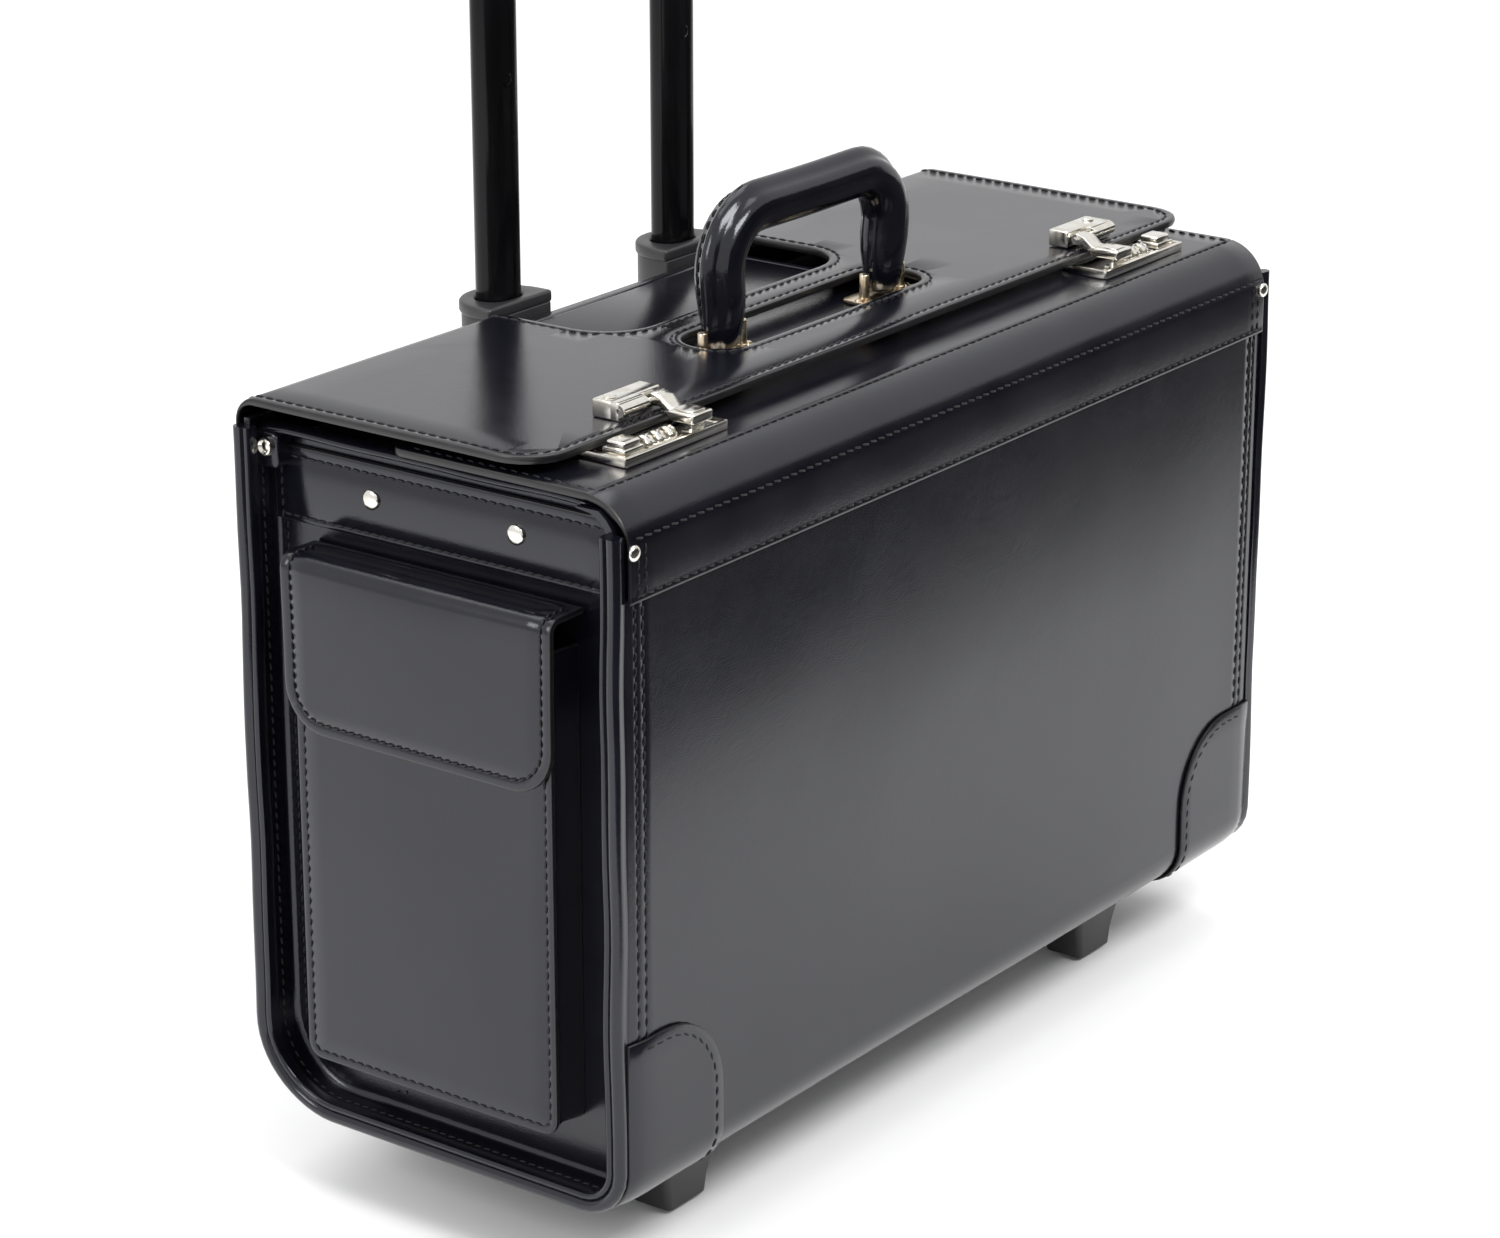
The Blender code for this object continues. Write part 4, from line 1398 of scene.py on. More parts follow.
@dataclass(frozen=True)
class CaseEnd:
    """One end of the case: a recessed panel, its binding, welt, band, rivets and pocket."""

    side: Side
    panel_x: float = 0.2277
    inner_x: float = 0.2247
    flange: float = 0.0030
    panel_top: float = 0.2942
    row_x: float = 0.2352
    row_y: float = 0.0845
    row_foot: float = 0.0350
    welt_x: float = 0.2312
    eyelet: tuple[float, float, float] = (0.2372, 0.0858, 0.2880)

    def build(self) -> None:
        """Build every piece of this end."""
        thread = Thread(pitch=0.0047, length=0.0036)
        self._panel(thread)
        self._binding()
        self._band(thread)
        self._pocket(thread)
        thread.finish(f"{self.side.label}_end_stitches", CASE, "black_leather")
        self._flap()
        self._rivets()

    def out(self, y: float, z: float, height: float) -> Vector:
        """Place a point on the end: y, z and its distance from the middle of the case."""
        return Vector((self.side.value * height, y, z))

    def _panel(self, thread: Thread) -> None:
        """Build the tray-shaped panel.

        Args:
            thread: the thread that sews its flange.
        """
        inset = LEATHER + 0.0003
        roll = (-HALF_D + FRONT_RADIUS, cad("case_wrap")[1].z - FRONT_RADIUS)
        above = 0.33
        fold = body_fold(inset, roll[1], above)
        length = run_length(fold)
        outline = [(roll[0], above)] + arc(roll, FRONT_RADIUS - inset, 90, 180, 6)
        outline += [fold.at(s)[0] for s in sorted(fold.curved(0.006)) + [length]]
        bm = prism(outline, self.inner_x, HALF_W - 0.0003)
        lid = max(bm.faces, key=lambda f: f.calc_center_median().z)
        bmesh.ops.inset_region(
            bm, faces=[lid], thickness=self.flange, use_boundary=True, use_even_offset=True
        )
        floor = bmesh.ops.extrude_face_region(bm, geom=[lid])
        bmesh.ops.delete(bm, geom=[lid], context="FACES_ONLY")
        depth = HALF_W - 0.0003 - self.panel_x
        bmesh.ops.translate(bm, verts=new_verts(floor), vec=(0, 0, -depth))
        inner = [f for f in floor["geom"] if isinstance(f, bmesh.types.BMFace)]
        rim = [e for f in inner for e in f.edges]
        bmesh.ops.bevel(bm, geom=rim, offset=0.0035, segments=4, profile=0.5, affect="EDGES", material=-1)
        bmesh.ops.bisect_plane(
            bm, geom=bm.verts[:] + bm.edges[:] + bm.faces[:], dist=1e-7, plane_co=(0, self.panel_top, 0),
            plane_no=(0, 1, 0), clear_outer=True,
        )
        bmesh.ops.holes_fill(bm, edges=[e for e in bm.edges if e.is_boundary], sides=0)
        laid(bm, self.out)
        name = self.side.label
        bench(f"{name}_panel", bm, [Finish.LEATHER], CASE, [f"{name}_end_panel"])
        wall = body_fold(inset + self.flange, 0.276, 0.288)

        def on_wall(x: float, s: float, height: float) -> Vector:
            """Place a point on the inner face of the flange."""
            return wall.bend(x, s, -height)

        x = self.side.value * self.row_x
        thread.sew([(x, 0.004), (x, run_length(wall) - 0.004)], on_wall)

    def _binding(self) -> None:
        """Build the rolled binding over the wrap's and the flange's edges, and the top welt."""
        fold = body_fold(0.0, 0.2860, 0.2965)
        places = [0.0, *sorted(fold.curved(0.005) + even(0.004, 0.262, 0.012) + even(0.50, 0.755, 0.012))]
        stations = []
        for s in [p for p in places if p < run_length(fold)] + [run_length(fold)]:
            (y, z), (out_y, out_z) = fold.at(s)
            spot = Vector((self.side.value * HALF_W, y, z))
            spot.x += ripple(spot, 0.0011, 0.05)
            spot += Vector((0, out_y, out_z)) * ripple(spot + Vector((0, 5, 0)), 0.0007, 0.06)
            stations.append(station(spot, Vector((0, -out_y, -out_z)), Vector((self.side.value, 0, 0))))
        outer = [
            (0.0027 - 0.0029 * cos(t), 0.0031 + 0.0030 * sin(t))
            for t in (-0.7, 0, 0.4, 0.8, 1.2, 1.57, 1.95, 2.3)
        ]
        crease = [(0.0054, 0.0042)]
        inner = [
            (0.0070 - 0.0015 * cos(t), 0.0040 + 0.0016 * sin(t)) for t in (0.3, 0.9, 1.57, 2.2, 2.8, 3.14)
        ]
        section = [(0.0006, -0.0006), *outer, *crease, *inner, (0.0084, 0.0012), (0.0080, -0.0006)]
        bm = sweep(section, stations)
        name = self.side.label
        bench(f"{name}_binding", bm, [Finish.TRIM], CASE, [f"{name}_edge_binding"], 55.0)
        oval = [(0.0046 * cos(t), 0.0022 * sin(t)) for t in [2 * pi * k / 14 for k in range(14)]]
        path = [(-0.0835, 0.2868), (-0.0815, 0.2905), (-0.0770, 0.2932), (-0.0700, 0.2944)]
        path += [
            (y, 0.2946 + ripple(Vector((y, self.side.value, 0)), 0.0008, 0.05))
            for y in even(-0.068, 0.088, 0.012)
        ]
        path += [(0.0860, 0.2944), (0.0905, 0.2934)]
        stations = []
        for i, (y, z) in enumerate(path):
            before, after = path[max(0, i - 1)], path[min(len(path) - 1, i + 1)]
            along = Vector((0, after[0] - before[0], after[1] - before[1])).normalized()
            across = Vector((self.side.value, 0, 0))
            spot = Vector((self.side.value * self.welt_x, y, z))
            stations.append(station(spot, across, across.cross(along)))
        bench(f"{name}_top_welt", sweep(oval, stations), [Finish.TRIM], CASE, smooth=70.0)

    def _band(self, thread: Thread) -> None:
        """Build the band across the top.

        Args:
            thread: the thread that sews it.
        """
        low, high = cad(f"{self.side.label}_end_band")
        rows = (high.z - 0.0044, low.z + 0.0026)
        outline = [
            (low.y, low.z), (high.y, low.z), (high.y, high.z), (-0.0760, high.z), (low.y, high.z - 0.0120)
        ]
        blank = Blank(
            outline, 0.0022, grooves_b=rows, cuts_a=even(low.y, high.y, 0.02), edge_round=0.0006
        )
        _, face = span(low, high)

        def over(y: float, z: float, height: float) -> Vector:
            """Place a point on the band's grain side."""
            return self.out(y, z, face + height)

        name = self.side.label
        bench(
            f"{name}_band", laid(blank.cut(), over), [Finish.TRIM, Finish.EDGE], CASE,
            [f"{name}_end_band"]
        )
        for z in rows:
            thread.sew([(-0.0835, z), (0.0845, z)], over)

        def on_panel(y: float, z: float, height: float) -> Vector:
            """Place a point on the panel."""
            return self.out(y, z, self.panel_x + height)

        for y in (-self.row_y, self.row_y):
            thread.sew([(y, low.z), (y, rows[0])], over)
            thread.sew([(y, self.row_foot), (y, low.z - 0.001)], on_panel)

    def _pocket(self, thread: Thread) -> None:
        """Build the pocket: a gusset round three sides and a stitched front.

        Args:
            thread: the thread that sews it.
        """
        low, high = cad(f"{self.side.label}_pocket")
        back, face = span(low, high)
        half, foot, top = high.y, low.z, high.z
        r, step = 0.007, 0.0012
        runs = (
            Run(top - foot - r - step), Run(pi / 2 * (r - step), 90.0), Run(2 * half - 2 * r),
            Run(pi / 2 * (r - step), 90.0), Run(top - foot - r - step),
        )
        fold = Fold((step - half, top - 2 * step), 270.0, runs)
        length = run_length(fold)
        blank = Blank(
            [(back - 0.0004, 0.0), (face - 0.0022, 0.0), (face - 0.0022, length), (back - 0.0004, length)],
            0.0016,
            cuts_a=[(back + face) / 2],
            cuts_b=fold.curved(0.002) + even(0.0, 0.19, 0.03) + even(0.34, length, 0.03),
            edge_round=0.0005,
        )

        def round_sides(x: float, s: float, height: float) -> Vector:
            """Place a point of the gusset, which sags between its seams."""
            bow = -0.0016 * (1.0 - (2 * (x - back) / (face - back) - 1.0) ** 2)
            return fold.bend(self.side.value * x, s, height + bow)

        name = self.side.label
        bench(
            f"{name}_pocket_gusset", laid(blank.cut(), round_sides), [Finish.TRIM, Finish.EDGE], CASE,
        )
        front = Blank(
            rounded(half, (top - foot) / 2, r, (0.0, (top + foot) / 2), 6),
            0.0024,
            channels=(0.0036,),
            cuts_a=even(-half, half, 0.012),
            cuts_b=even(foot, top, 0.012),
        )

        def bulge(y: float, z: float, height: float) -> Vector:
            """Place a point of the pocket's swollen front."""
            across = max(0.0, 1.0 - (y / half) ** 2)
            up = max(0.0, 1.0 - ((z - 0.095) / 0.075) ** 2)
            swell = 0.0016 * across * up + ripple(
                Vector((y, z, self.side.value)), 0.0007 * across * up, 0.07
            )
            return self.out(y, z, face + height + swell)

        bench(
            f"{name}_pocket_front", laid(front.cut(), bulge), [Finish.LEATHER, Finish.EDGE], CASE,
            [f"{name}_pocket"]
        )
        row = rounded(half - 0.0036, (top - foot) / 2 - 0.0036, r - 0.0036, (0.0, (top + foot) / 2), 6)
        thread.sew(row, bulge, closed=True)

    def _flap(self) -> None:
        """Build the pocket's flap and its stitches."""
        name = f"{self.side.label}_pocket_flap"
        low, high = cad(name)
        back, face = span(low, high)
        roll, corner, row = 0.0065, 0.020, 0.0050
        runs = (Run(face - roll - back), Run(pi / 2 * roll, -90.0), Run(high.z - roll - low.z))
        fold = Fold((back, high.z), 0.0, runs, outward=90.0)
        half, length = high.y, run_length(fold)

        def outline(inset: float) -> list[Point]:
            """Return the flap's flat outline, or a line inside it."""
            r = corner - inset
            right = [(half - inset, inset), *arc((half - corner, length - corner), r, 0, 90, 8)]
            return right + [(-y, s) for y, s in reversed(right)]

        blank = Blank(
            outline(0.0),
            0.0030,
            channels=(row,),
            cuts_a=even(-half, half, 0.012),
            cuts_b=fold.curved(0.0016) + even(0.026, length, 0.012),
            edge_round=0.0011,
            channel_depth=0.0006,
        )

        def lay(y: float, s: float, height: float) -> Vector:
            """Place a point of the flap, which rolls over the pocket's top and swells."""
            middle = max(0.0, 1.0 - (y / (half - row)) ** 2) * max(0.0, 1.0 - ((s - 0.055) / 0.036) ** 2)
            swell = 0.0014 * middle + ripple(Vector((y, s, self.side.value)), 0.0006, 0.06)
            (out, z), (n_out, n_z) = fold.at(s)
            reach = height + swell * min(1.0, s / 0.02)
            return Vector((self.side.value * (out + n_out * reach), y, z + n_z * reach))

        ride = Ride(name)
        bench(
            f"{name}_sheet", laid(blank.cut(), lay), [Finish.LEATHER, Finish.EDGE], ride,
            [name]
        )
        thread = Thread(pitch=0.0042, length=0.0033)
        thread.sew(outline(row)[:-1] + [(row - half, row)], lay)
        thread.finish(f"{name}_stitches", ride, "black_leather")

    def _rivets(self) -> None:
        """Build the four rivets of this end."""
        side, name = self.side.value, self.side.label
        for where in ("front", "rear"):
            node = f"{name}_band_rivet_{where}"
            low, high = cad(node)
            middle = (low + high) / 2
            seat, _ = span(low, high)
            turn = Matrix.Translation(
                (side * seat, middle.y, middle.z)
            ) @ Matrix.Rotation(side * pi / 2, 4, "Y")
            head = moved(turned(dome((high.y - low.y) / 2, high.x - low.x)), turn)
            bench(f"{node}_head", head, [Finish.NICKEL], CASE, [node])
        low, high = cad(f"front_{name}_rivet")
        middle = (low + high) / 2
        turn = Matrix.Translation((middle.x, high.y - 0.0010, middle.z)) @ TO_FRONT
        head = moved(turned(dome((high.x - low.x) / 2, 0.0020)), turn)
        bench(f"front_{name}_rivet_head", head, [Finish.NICKEL], CASE, [f"front_{name}_rivet"])
        seat, y, z = self.eyelet
        turn = Matrix.Translation((side * seat, y, z)) @ Matrix.Rotation(side * pi / 2, 4, "Y")
        eyelet = [(0.0, -0.002), (0.0034, -0.002), (0.0040, 0.0003), (0.0041, 0.0011), (0.0036, 0.0020)]
        eyelet += [(0.0028, 0.0021), (0.0022, 0.0015), (0.0018, 0.0010), (0.0, 0.0015)]
        bench(
            f"rear_{name}_rivet_head", moved(turned(eyelet), turn), [Finish.NICKEL], CASE,
            [f"rear_{name}_rivet"]
        )
        tab = prism(rounded(0.0068, 0.0075, 0.0035, (0.0868, 0.2862), 4), 0.2280, seat - 0.0002, 0.0012, 3)
        bench(f"{name}_corner_tab", moved(tab, facing(self.side)), [Finish.TRIM], CASE)


# The carry handle ----------------------------------------------------------------------------


@dataclass(frozen=True)
class CarryHandle:
    """The padded handle, its seams and the two brackets that it swings on."""

    y: float = -0.008
    foot_x: float = 0.0585
    pivot_z: float = 0.3078
    top_z: float = 0.3595
    corner: float = 0.024
    half: float = 0.0105
    seam: float = 0.78

    def path(self, steps: int) -> list[tuple[float, float, float, float]]:
        """Return the centre line as (x, z, half width, half depth), from the right foot to the left one.

        Args:
            steps: steps in each shoulder.
        """
        leg = [
            (0.0, -0.0040, 0.0068, 0.0044), (0.0, -0.0026, 0.0092, 0.0062), (0.0, 0.0030, 0.0101, 0.0076)
        ]
        leg += [
            (0.0002, 0.0080, 0.0103, 0.0086), (0.0004, 0.0130, 0.0105, 0.0096),
            (0.0010, 0.0200, self.half, self.half)
        ]
        right = [(self.foot_x + out, self.pivot_z + up, a, b) for out, up, a, b in leg]
        shoulder = (self.foot_x + 0.0018 - self.corner, self.top_z - self.corner)
        right += [(x, z, self.half, self.half) for x, z in arc(shoulder, self.corner, 0, 90, steps)]
        across = even(0.0, shoulder[0], 0.008)
        right += [
            (x, self.top_z - 0.0004 * (1 - x / shoulder[0]), self.half, self.half) for x in reversed(across)
        ]
        return right + [(-x, z, a, b) for x, z, a, b in reversed(right)]

    def section(self, half_w: float, half_d: float, turn: float) -> Point:
        """Return a point of the section: an oval that narrows to a stitched edge outwards.

        Args:
            half_w: half its width, along the arch's radius.
            half_d: half its depth.
            turn: the angle from the outward direction.
        """
        bend = abs((turn + pi) % (2 * pi) - pi)
        pinch = min(1.0, max(0.0, (self.seam + 0.16 - bend) / 0.26))
        depth = half_d * sin(turn) * (1.0 - 0.34 * pinch * pinch * (3 - 2 * pinch))
        return half_w * (cos(turn) + 0.10 * max(0.0, cos(turn)) ** 6), depth

    def frames(self, steps: int) -> list[tuple[Vector, Vector, float, float]]:
        """Return the stations: place, outward direction, half width and half depth.

        Args:
            steps: steps in each shoulder.
        """
        path = self.path(steps)
        found = []
        for i, (x, z, half_w, half_d) in enumerate(path):
            before, after = path[max(i - 1, 0)], path[min(i + 1, len(path) - 1)]
            along = Vector((after[0] - before[0], 0, after[1] - before[1])).normalized()
            found.append((Vector((x, self.y, z)), Vector((along.z, 0, -along.x)), half_w, half_d))
        return found

    def build(self) -> None:
        """Build the handle and its brackets."""
        bm = bmesh.new()
        half_turns = [0.0, 0.25, 0.48, 0.62, 0.72, 0.82, 0.94, 1.12, 1.38, 1.65, 1.95, 2.25, 2.6, 2.9, pi]
        turns = half_turns + [2 * pi - t for t in half_turns[-2:0:-1]]
        rings = []
        for place, out, half_w, half_d in self.frames(9):
            spots = [self.section(half_w, half_d, t) for t in turns]
            rings.append(ring_of(bm, [place + out * a + Vector((0, b, 0)) for a, b in spots]))
        for first, second in zip(rings, rings[1:]):
            bmesh.ops.bridge_loops(bm, edges=first + second)
        bmesh.ops.contextual_create(bm, geom=rings[0])
        bmesh.ops.contextual_create(bm, geom=rings[-1])
        bmesh.ops.recalc_face_normals(bm, faces=bm.faces)
        pad = bench(
            "handle_pad", bm, [Finish.TRIM], Ride("carry_handle"), ["carry_handle"], 60.0
        )
        self._seam()
        for side in Side:
            self._bracket(side)

    def _seam(self) -> None:
        """Sew the row that runs inside the outer edge, on both faces."""
        thread = Thread(pitch=0.0046, length=0.0035)
        frames = self.frames(9)[3:-3]
        reached, total = [0.0], 0.0
        for (a, *_), (b, *_) in zip(frames, frames[1:]):
            total += (b - a).length
            reached.append(total)
        for face in (-1, 1):

            def lay(x: float, s: float, height: float) -> Vector:
                """Place a point beside the seam of this face."""
                k = max(0, min(len(frames) - 2, sum(1 for r in reached if r <= s) - 1))
                t = (s - reached[k]) / (reached[k + 1] - reached[k])
                spots = []
                for place, out, half_w, half_d in frames[k : k + 2]:
                    a, b = self.section(half_w, half_d, self.seam + x / half_w)
                    normal = (out * a / half_w**2 + Vector((0, b, 0)) / half_d**2).normalized()
                    spots.append(
                        place + out * a + Vector((0, face * b, 0)) + Vector(
                            (normal.x, face * normal.y, normal.z)
                        ) * height
                    )
                return spots[0].lerp(spots[1], t)

            thread.sew([(0.0, 0.002), (0.0, total - 0.002)], lay, lift=0.0)
        thread.finish("handle_stitches", Ride("carry_handle"), "leather_trim")

    def _bracket(self, side: Side) -> None:
        """Build one bracket.

        Args:
            side: the end of the handle.
        """
        name = f"{side.label}_handle_bracket"
        low, high = cad(name)
        middle_x = (low.x + high.x) / 2
        plate = prism(rounded(0.0195, 0.0090, 0.0040, (middle_x, self.y)), low.z, low.z + 0.0016, 0.0004)
        post = [
            (0.0, 0.0), (0.0027, 0.0), (0.0027, 0.0012), (0.0023, 0.0015), (0.0023, 0.0114),
            (0.0020, 0.0119), (0.0, 0.0120)
        ]
        parts = [plate]
        for offset in (-0.0135, 0.0135):
            parts.append(
                moved(turned(post, 20), Matrix.Translation((middle_x + offset, self.y, low.z + 0.0008)))
            )
        bar = turned([(0.0, -0.0150), (0.0013, -0.0150), (0.0013, 0.0150), (0.0, 0.0150)], 16)
        parts.append(
            moved(
                bar, Matrix.Translation((middle_x, self.y, self.pivot_z)), ALONG_X
            )
        )
        screw = [(0.0, 0.0), (0.0022, 0.0), (0.0020, 0.0006), (0.0010, 0.0009), (0.0, 0.0009)]
        for offset in (-0.0172, 0.0172):
            parts.append(
                moved(turned(screw, 16), Matrix.Translation((middle_x + offset, self.y, low.z + 0.0015)))
            )
        bench(f"{name}_metal", join(*parts), [Finish.WORN], Ride("front_flap"), [name])


# The locks -----------------------------------------------------------------------------------


@dataclass(frozen=True)
class Lock:
    """One combination lock: plate, dials, slider, and the hasp on the lid."""

    side: Side
    plate_half: Point = (0.0330, 0.0120)
    plate_x: float = 0.1735
    plate_y: float = -0.0605
    dial_x: tuple[float, float, float] = (0.1690, 0.1762, 0.1834)
    dial_y: float = -0.0630
    dial_radius: float = 0.0042
    digit_size: float = 0.0024
    pin: Point = (-0.0490, 0.3126)
    neck_x: Point = (0.1516, 0.1604)
    tongue_x: Point = (0.1502, 0.1630)
    tongue_foot: float = 0.3064
    box_foot: float = 0.2925
    plate_foot: float = 0.3003

    def at(self, x: float, y: float, z: float) -> Matrix:
        """Return the placement of a piece at a distance from the middle of the case."""
        return Matrix.Translation((self.side.value * x, y, z))

    def box(
        self, low: Sequence[float], high: Sequence[float], round_off: float, segments: int = 2
    ) -> bmesh.types.BMesh:
        """Return a rounded block given by |x|, y and z ranges.

        Args:
            low: the lower limits.
            high: the upper limits.
            round_off: the rounding of its edges.
            segments: steps across the rounding.
        """
        half = ((high[0] - low[0]) / 2, (high[1] - low[1]) / 2)
        middle = (self.side.value * (low[0] + high[0]) / 2, (low[1] + high[1]) / 2)
        corner = max(round_off, 0.0004)
        return prism(rounded(*half, corner, middle, 3), low[2], high[2], round_off * 0.8, segments)

    def build(self) -> None:
        """Build every piece of the lock."""
        self._plate()
        self._dials()
        self._slider()
        self._hasp_base()
        self._hasp()

    def _plate(self) -> None:
        """Build the plate: a rounded rim round a lower field, open over the dials."""
        name = f"{self.side.label}_lock_plate"
        _, high = cad(name)
        bottom, top, field_z = self.plate_foot, high.z, high.z - 0.0011
        middle = (self.side.value * self.plate_x, self.plate_y)
        bm = prism(rounded(*self.plate_half, 0.0016, middle, 3), bottom, top)
        lid = max(bm.faces, key=lambda f: f.calc_center_median().z)
        bmesh.ops.inset_region(bm, faces=[lid], thickness=0.0021, use_boundary=True, use_even_offset=True)
        bmesh.ops.inset_region(bm, faces=[lid], thickness=0.0006, depth=field_z - top, use_boundary=True)
        soften(bm, 0.0005, 2, 30.0)
        parts = [bm]
        reach = self.dial_radius + 0.0007
        for x in self.dial_x:
            parts.append(self._window(x, reach, field_z))
        parts.append(
            self.box(
                (0.1510, self.plate_y - 0.0098, field_z), (0.1612, self.plate_y - 0.0040, field_z + 0.0006),
                0.0004
            )
        )
        rivet = [(0.0, -0.0005), (0.0016, -0.0005), (0.0015, 0.0004), (0.0008, 0.0008), (0.0, 0.0009)]
        for x, y in ((0.1446, -0.0690), (0.1446, -0.0522), (0.2022, -0.0522), (0.1870, -0.0522)):
            parts.append(moved(turned(rivet, 16), self.at(x, y, field_z)))
        parts.append(self.box((0.1500, -0.0690, self.box_foot), (0.1970, -0.0520, bottom + 0.0005), 0.0006))
        bench(f"{name}_metal", join(*parts), [Finish.NICKEL], Ride("front_flap"), [name])

    def _window(self, x: float, reach: float, field_z: float) -> bmesh.types.BMesh:
        """Return the raised frame round one dial's window.

        Args:
            x: the dial's distance from the middle of the case.
            reach: half the window's length.
            field_z: the height that it stands on.
        """
        outer = rounded(0.0037, reach + 0.0007, 0.0008, (self.side.value * x, self.dial_y), 2)
        bm = prism(outer, field_z - 0.0008, field_z + 0.0007)
        lid = max(bm.faces, key=lambda f: f.calc_center_median().z)
        bmesh.ops.inset_region(bm, faces=[lid], thickness=0.0006, use_boundary=True, use_even_offset=True)
        bmesh.ops.inset_region(bm, faces=[lid], thickness=0.00005, depth=-0.0012, use_boundary=True)
        return bm

    def _dials(self) -> None:
        """Build the three dials, ribbed between their ten digits."""
        for k in range(1, len(self.dial_x) + 1):
            name = f"{self.side.label}_dial_{k}"
            low, high = cad(name)
            half = (high.x - low.x) / 2
            centre = (low + high) / 2
            bm = bmesh.new()
            made = bmesh.ops.create_circle(bm, cap_ends=True, radius=self.dial_radius - 0.0001, segments=40)
            face = made["verts"][0].link_faces[0]
            bmesh.ops.translate(bm, verts=bm.verts, vec=(0, 0, -half))
            grown = bmesh.ops.extrude_face_region(bm, geom=[face])
            bmesh.ops.translate(bm, verts=new_verts(grown), vec=(0, 0, 2 * half))
            for vert in bm.verts:
                turn = Vector((1, 0)).angle_signed(vert.co.xy)
                notch = max(0.0, cos(10 * turn)) ** 6
                vert.co.xy *= 1.0 - 0.075 * notch
            soften(bm, 0.0004, 2, 60.0)
            stand = Matrix.Translation(centre) @ ALONG_X @ Matrix.Rotation(
                pi / 10, 4, "Z"
            )
            moved(bm, stand)
            bench(f"{name}_wheel", bm, [Finish.NICKEL], Ride(name), [name])
            self._digits(name, centre, half)

    def _digits(self, name: str, centre: Vector, half: float) -> None:
        """Raise a digit on each face of a dial.

        Args:
            name: the dial's body.
            centre: its centre.
            half: half its width.
        """
        parts = []
        for digit in range(10):
            text = bpy.data.curves.new("digit", "FONT")
            text.body = str(digit)
            text.size, text.extrude = self.digit_size, 0.00008
            text.align_x, text.align_y = "CENTER", "CENTER"
            carrier = bpy.data.objects.new("digit", text)
            bpy.context.scene.collection.objects.link(carrier)
            mesh = carrier.to_mesh()
            bm = bmesh.new()
            bm.from_mesh(mesh)
            carrier.to_mesh_clear()
            bpy.data.objects.remove(carrier)
            bpy.data.curves.remove(text)
            bmesh.ops.remove_doubles(bm, verts=bm.verts, dist=1e-6)
            turn = Matrix.Translation(centre) @ Matrix.Rotation(digit * pi / 5, 4, "X")
            parts.append(moved(bm, turn, Matrix.Translation((0, 0, self.dial_radius - 0.0001))))
        bench(f"{name}_digits", join(*parts), [Finish.PLASTIC], Ride(name), smooth=30.0)

    def _slider(self) -> None:
        """Build the sliding button."""
        name = f"{self.side.label}_lock_slider"
        low, high = cad(name)
        inner, outer = span(low, high)
        foot = self.box((inner, low.y, low.z - 0.0010), (outer, high.y, low.z + 0.0014), 0.0006)
        pad = self.box(
            (inner + 0.0008, low.y + 0.0012, low.z), (outer - 0.0010, high.y - 0.0012, high.z), 0.0012, 3
        )
        bench(f"{name}_button", join(foot, pad), [Finish.NICKEL], Ride(name), [name])

    def _hasp_base(self) -> None:
        """Build the block on the lid that carries the hasp's pin."""
        name = f"{self.side.label}_hasp_base"
        low, high = cad(name)
        inner, outer = span(low, high)
        pin_y, pin_z = self.pin
        block = self.box((inner, pin_y + 0.0034, low.z), (outer, high.y, high.z), 0.0009, 3)
        arm = self.box((0.1642, pin_y - 0.0002, low.z), (outer, pin_y + 0.0045, high.z), 0.0006)
        barrel = turned(
            [
                (0.0, -0.0083), (0.0025, -0.0083), (0.0028, -0.0080), (0.0028, 0.0080), (0.0025, 0.0083),
                (0.0, 0.0083)
            ],
            24
        )
        lie = ALONG_X
        moved(barrel, self.at(0.17265, pin_y, pin_z), lie)
        pin = turned([(0.0, -0.0155), (0.0011, -0.0155), (0.0011, 0.0155), (0.0, 0.0155)], 16)
        moved(pin, self.at(0.1655, pin_y, pin_z), lie)
        boss = turned(
            [(0.0, -0.001), (0.0028, -0.001), (0.0028, 0.0003), (0.0023, 0.0008), (0.0, 0.0010)], 24
        )
        moved(boss, self.at(outer - 0.0055, (pin_y + high.y) / 2 + 0.002, high.z))
        bench(
            f"{name}_block", join(block, arm, barrel, pin, boss), [Finish.NICKEL], Ride("lid"),
            [name]
        )

    def _hasp(self) -> None:
        """Build the hasp: knuckle, neck, broad tongue and hook."""
        name = f"{self.side.label}_hasp"
        low, _ = cad(name)
        inner, outer = self.tongue_x
        (pin_y, pin_z), under = self.pin, self.tongue_foot
        knuckle = turned(
            [
                (0.0012, -0.0043), (0.0024, -0.0043), (0.0026, -0.0040), (0.0026, 0.0040), (0.0024, 0.0043),
                (0.0012, 0.0043)
            ],
            24
        )
        moved(knuckle, self.at(0.1560, pin_y, pin_z), ALONG_X)
        neck = [(pin_y, pin_z + 0.0026), (-0.0535, 0.3140), (-0.0575, 0.3106), (-0.0592, 0.3105)]
        neck += [(-0.0592, under), (-0.0575, under), (-0.0530, pin_z - 0.0022), (pin_y, pin_z - 0.0026)]
        bm = prism(neck, *self.neck_x, 0.0004)
        moved(bm, facing(self.side))
        tongue = self.box((inner, low.y, under + 0.0002), (outer, -0.0588, 0.3107), 0.0010, 3)
        rib = self.box((inner + 0.0022, low.y + 0.0020, 0.3100), (outer - 0.0022, -0.0605, 0.3112), 0.0006)
        hook = self.box((0.1520, -0.0690, 0.3024), (0.1600, -0.0668, under + 0.0008), 0.0004)
        bench(
            f"{name}_metal", join(knuckle, bm, tongue, rib, hook), [Finish.NICKEL], Ride(name),
            [name]
        )


# The trolley ---------------------------------------------------------------------------------


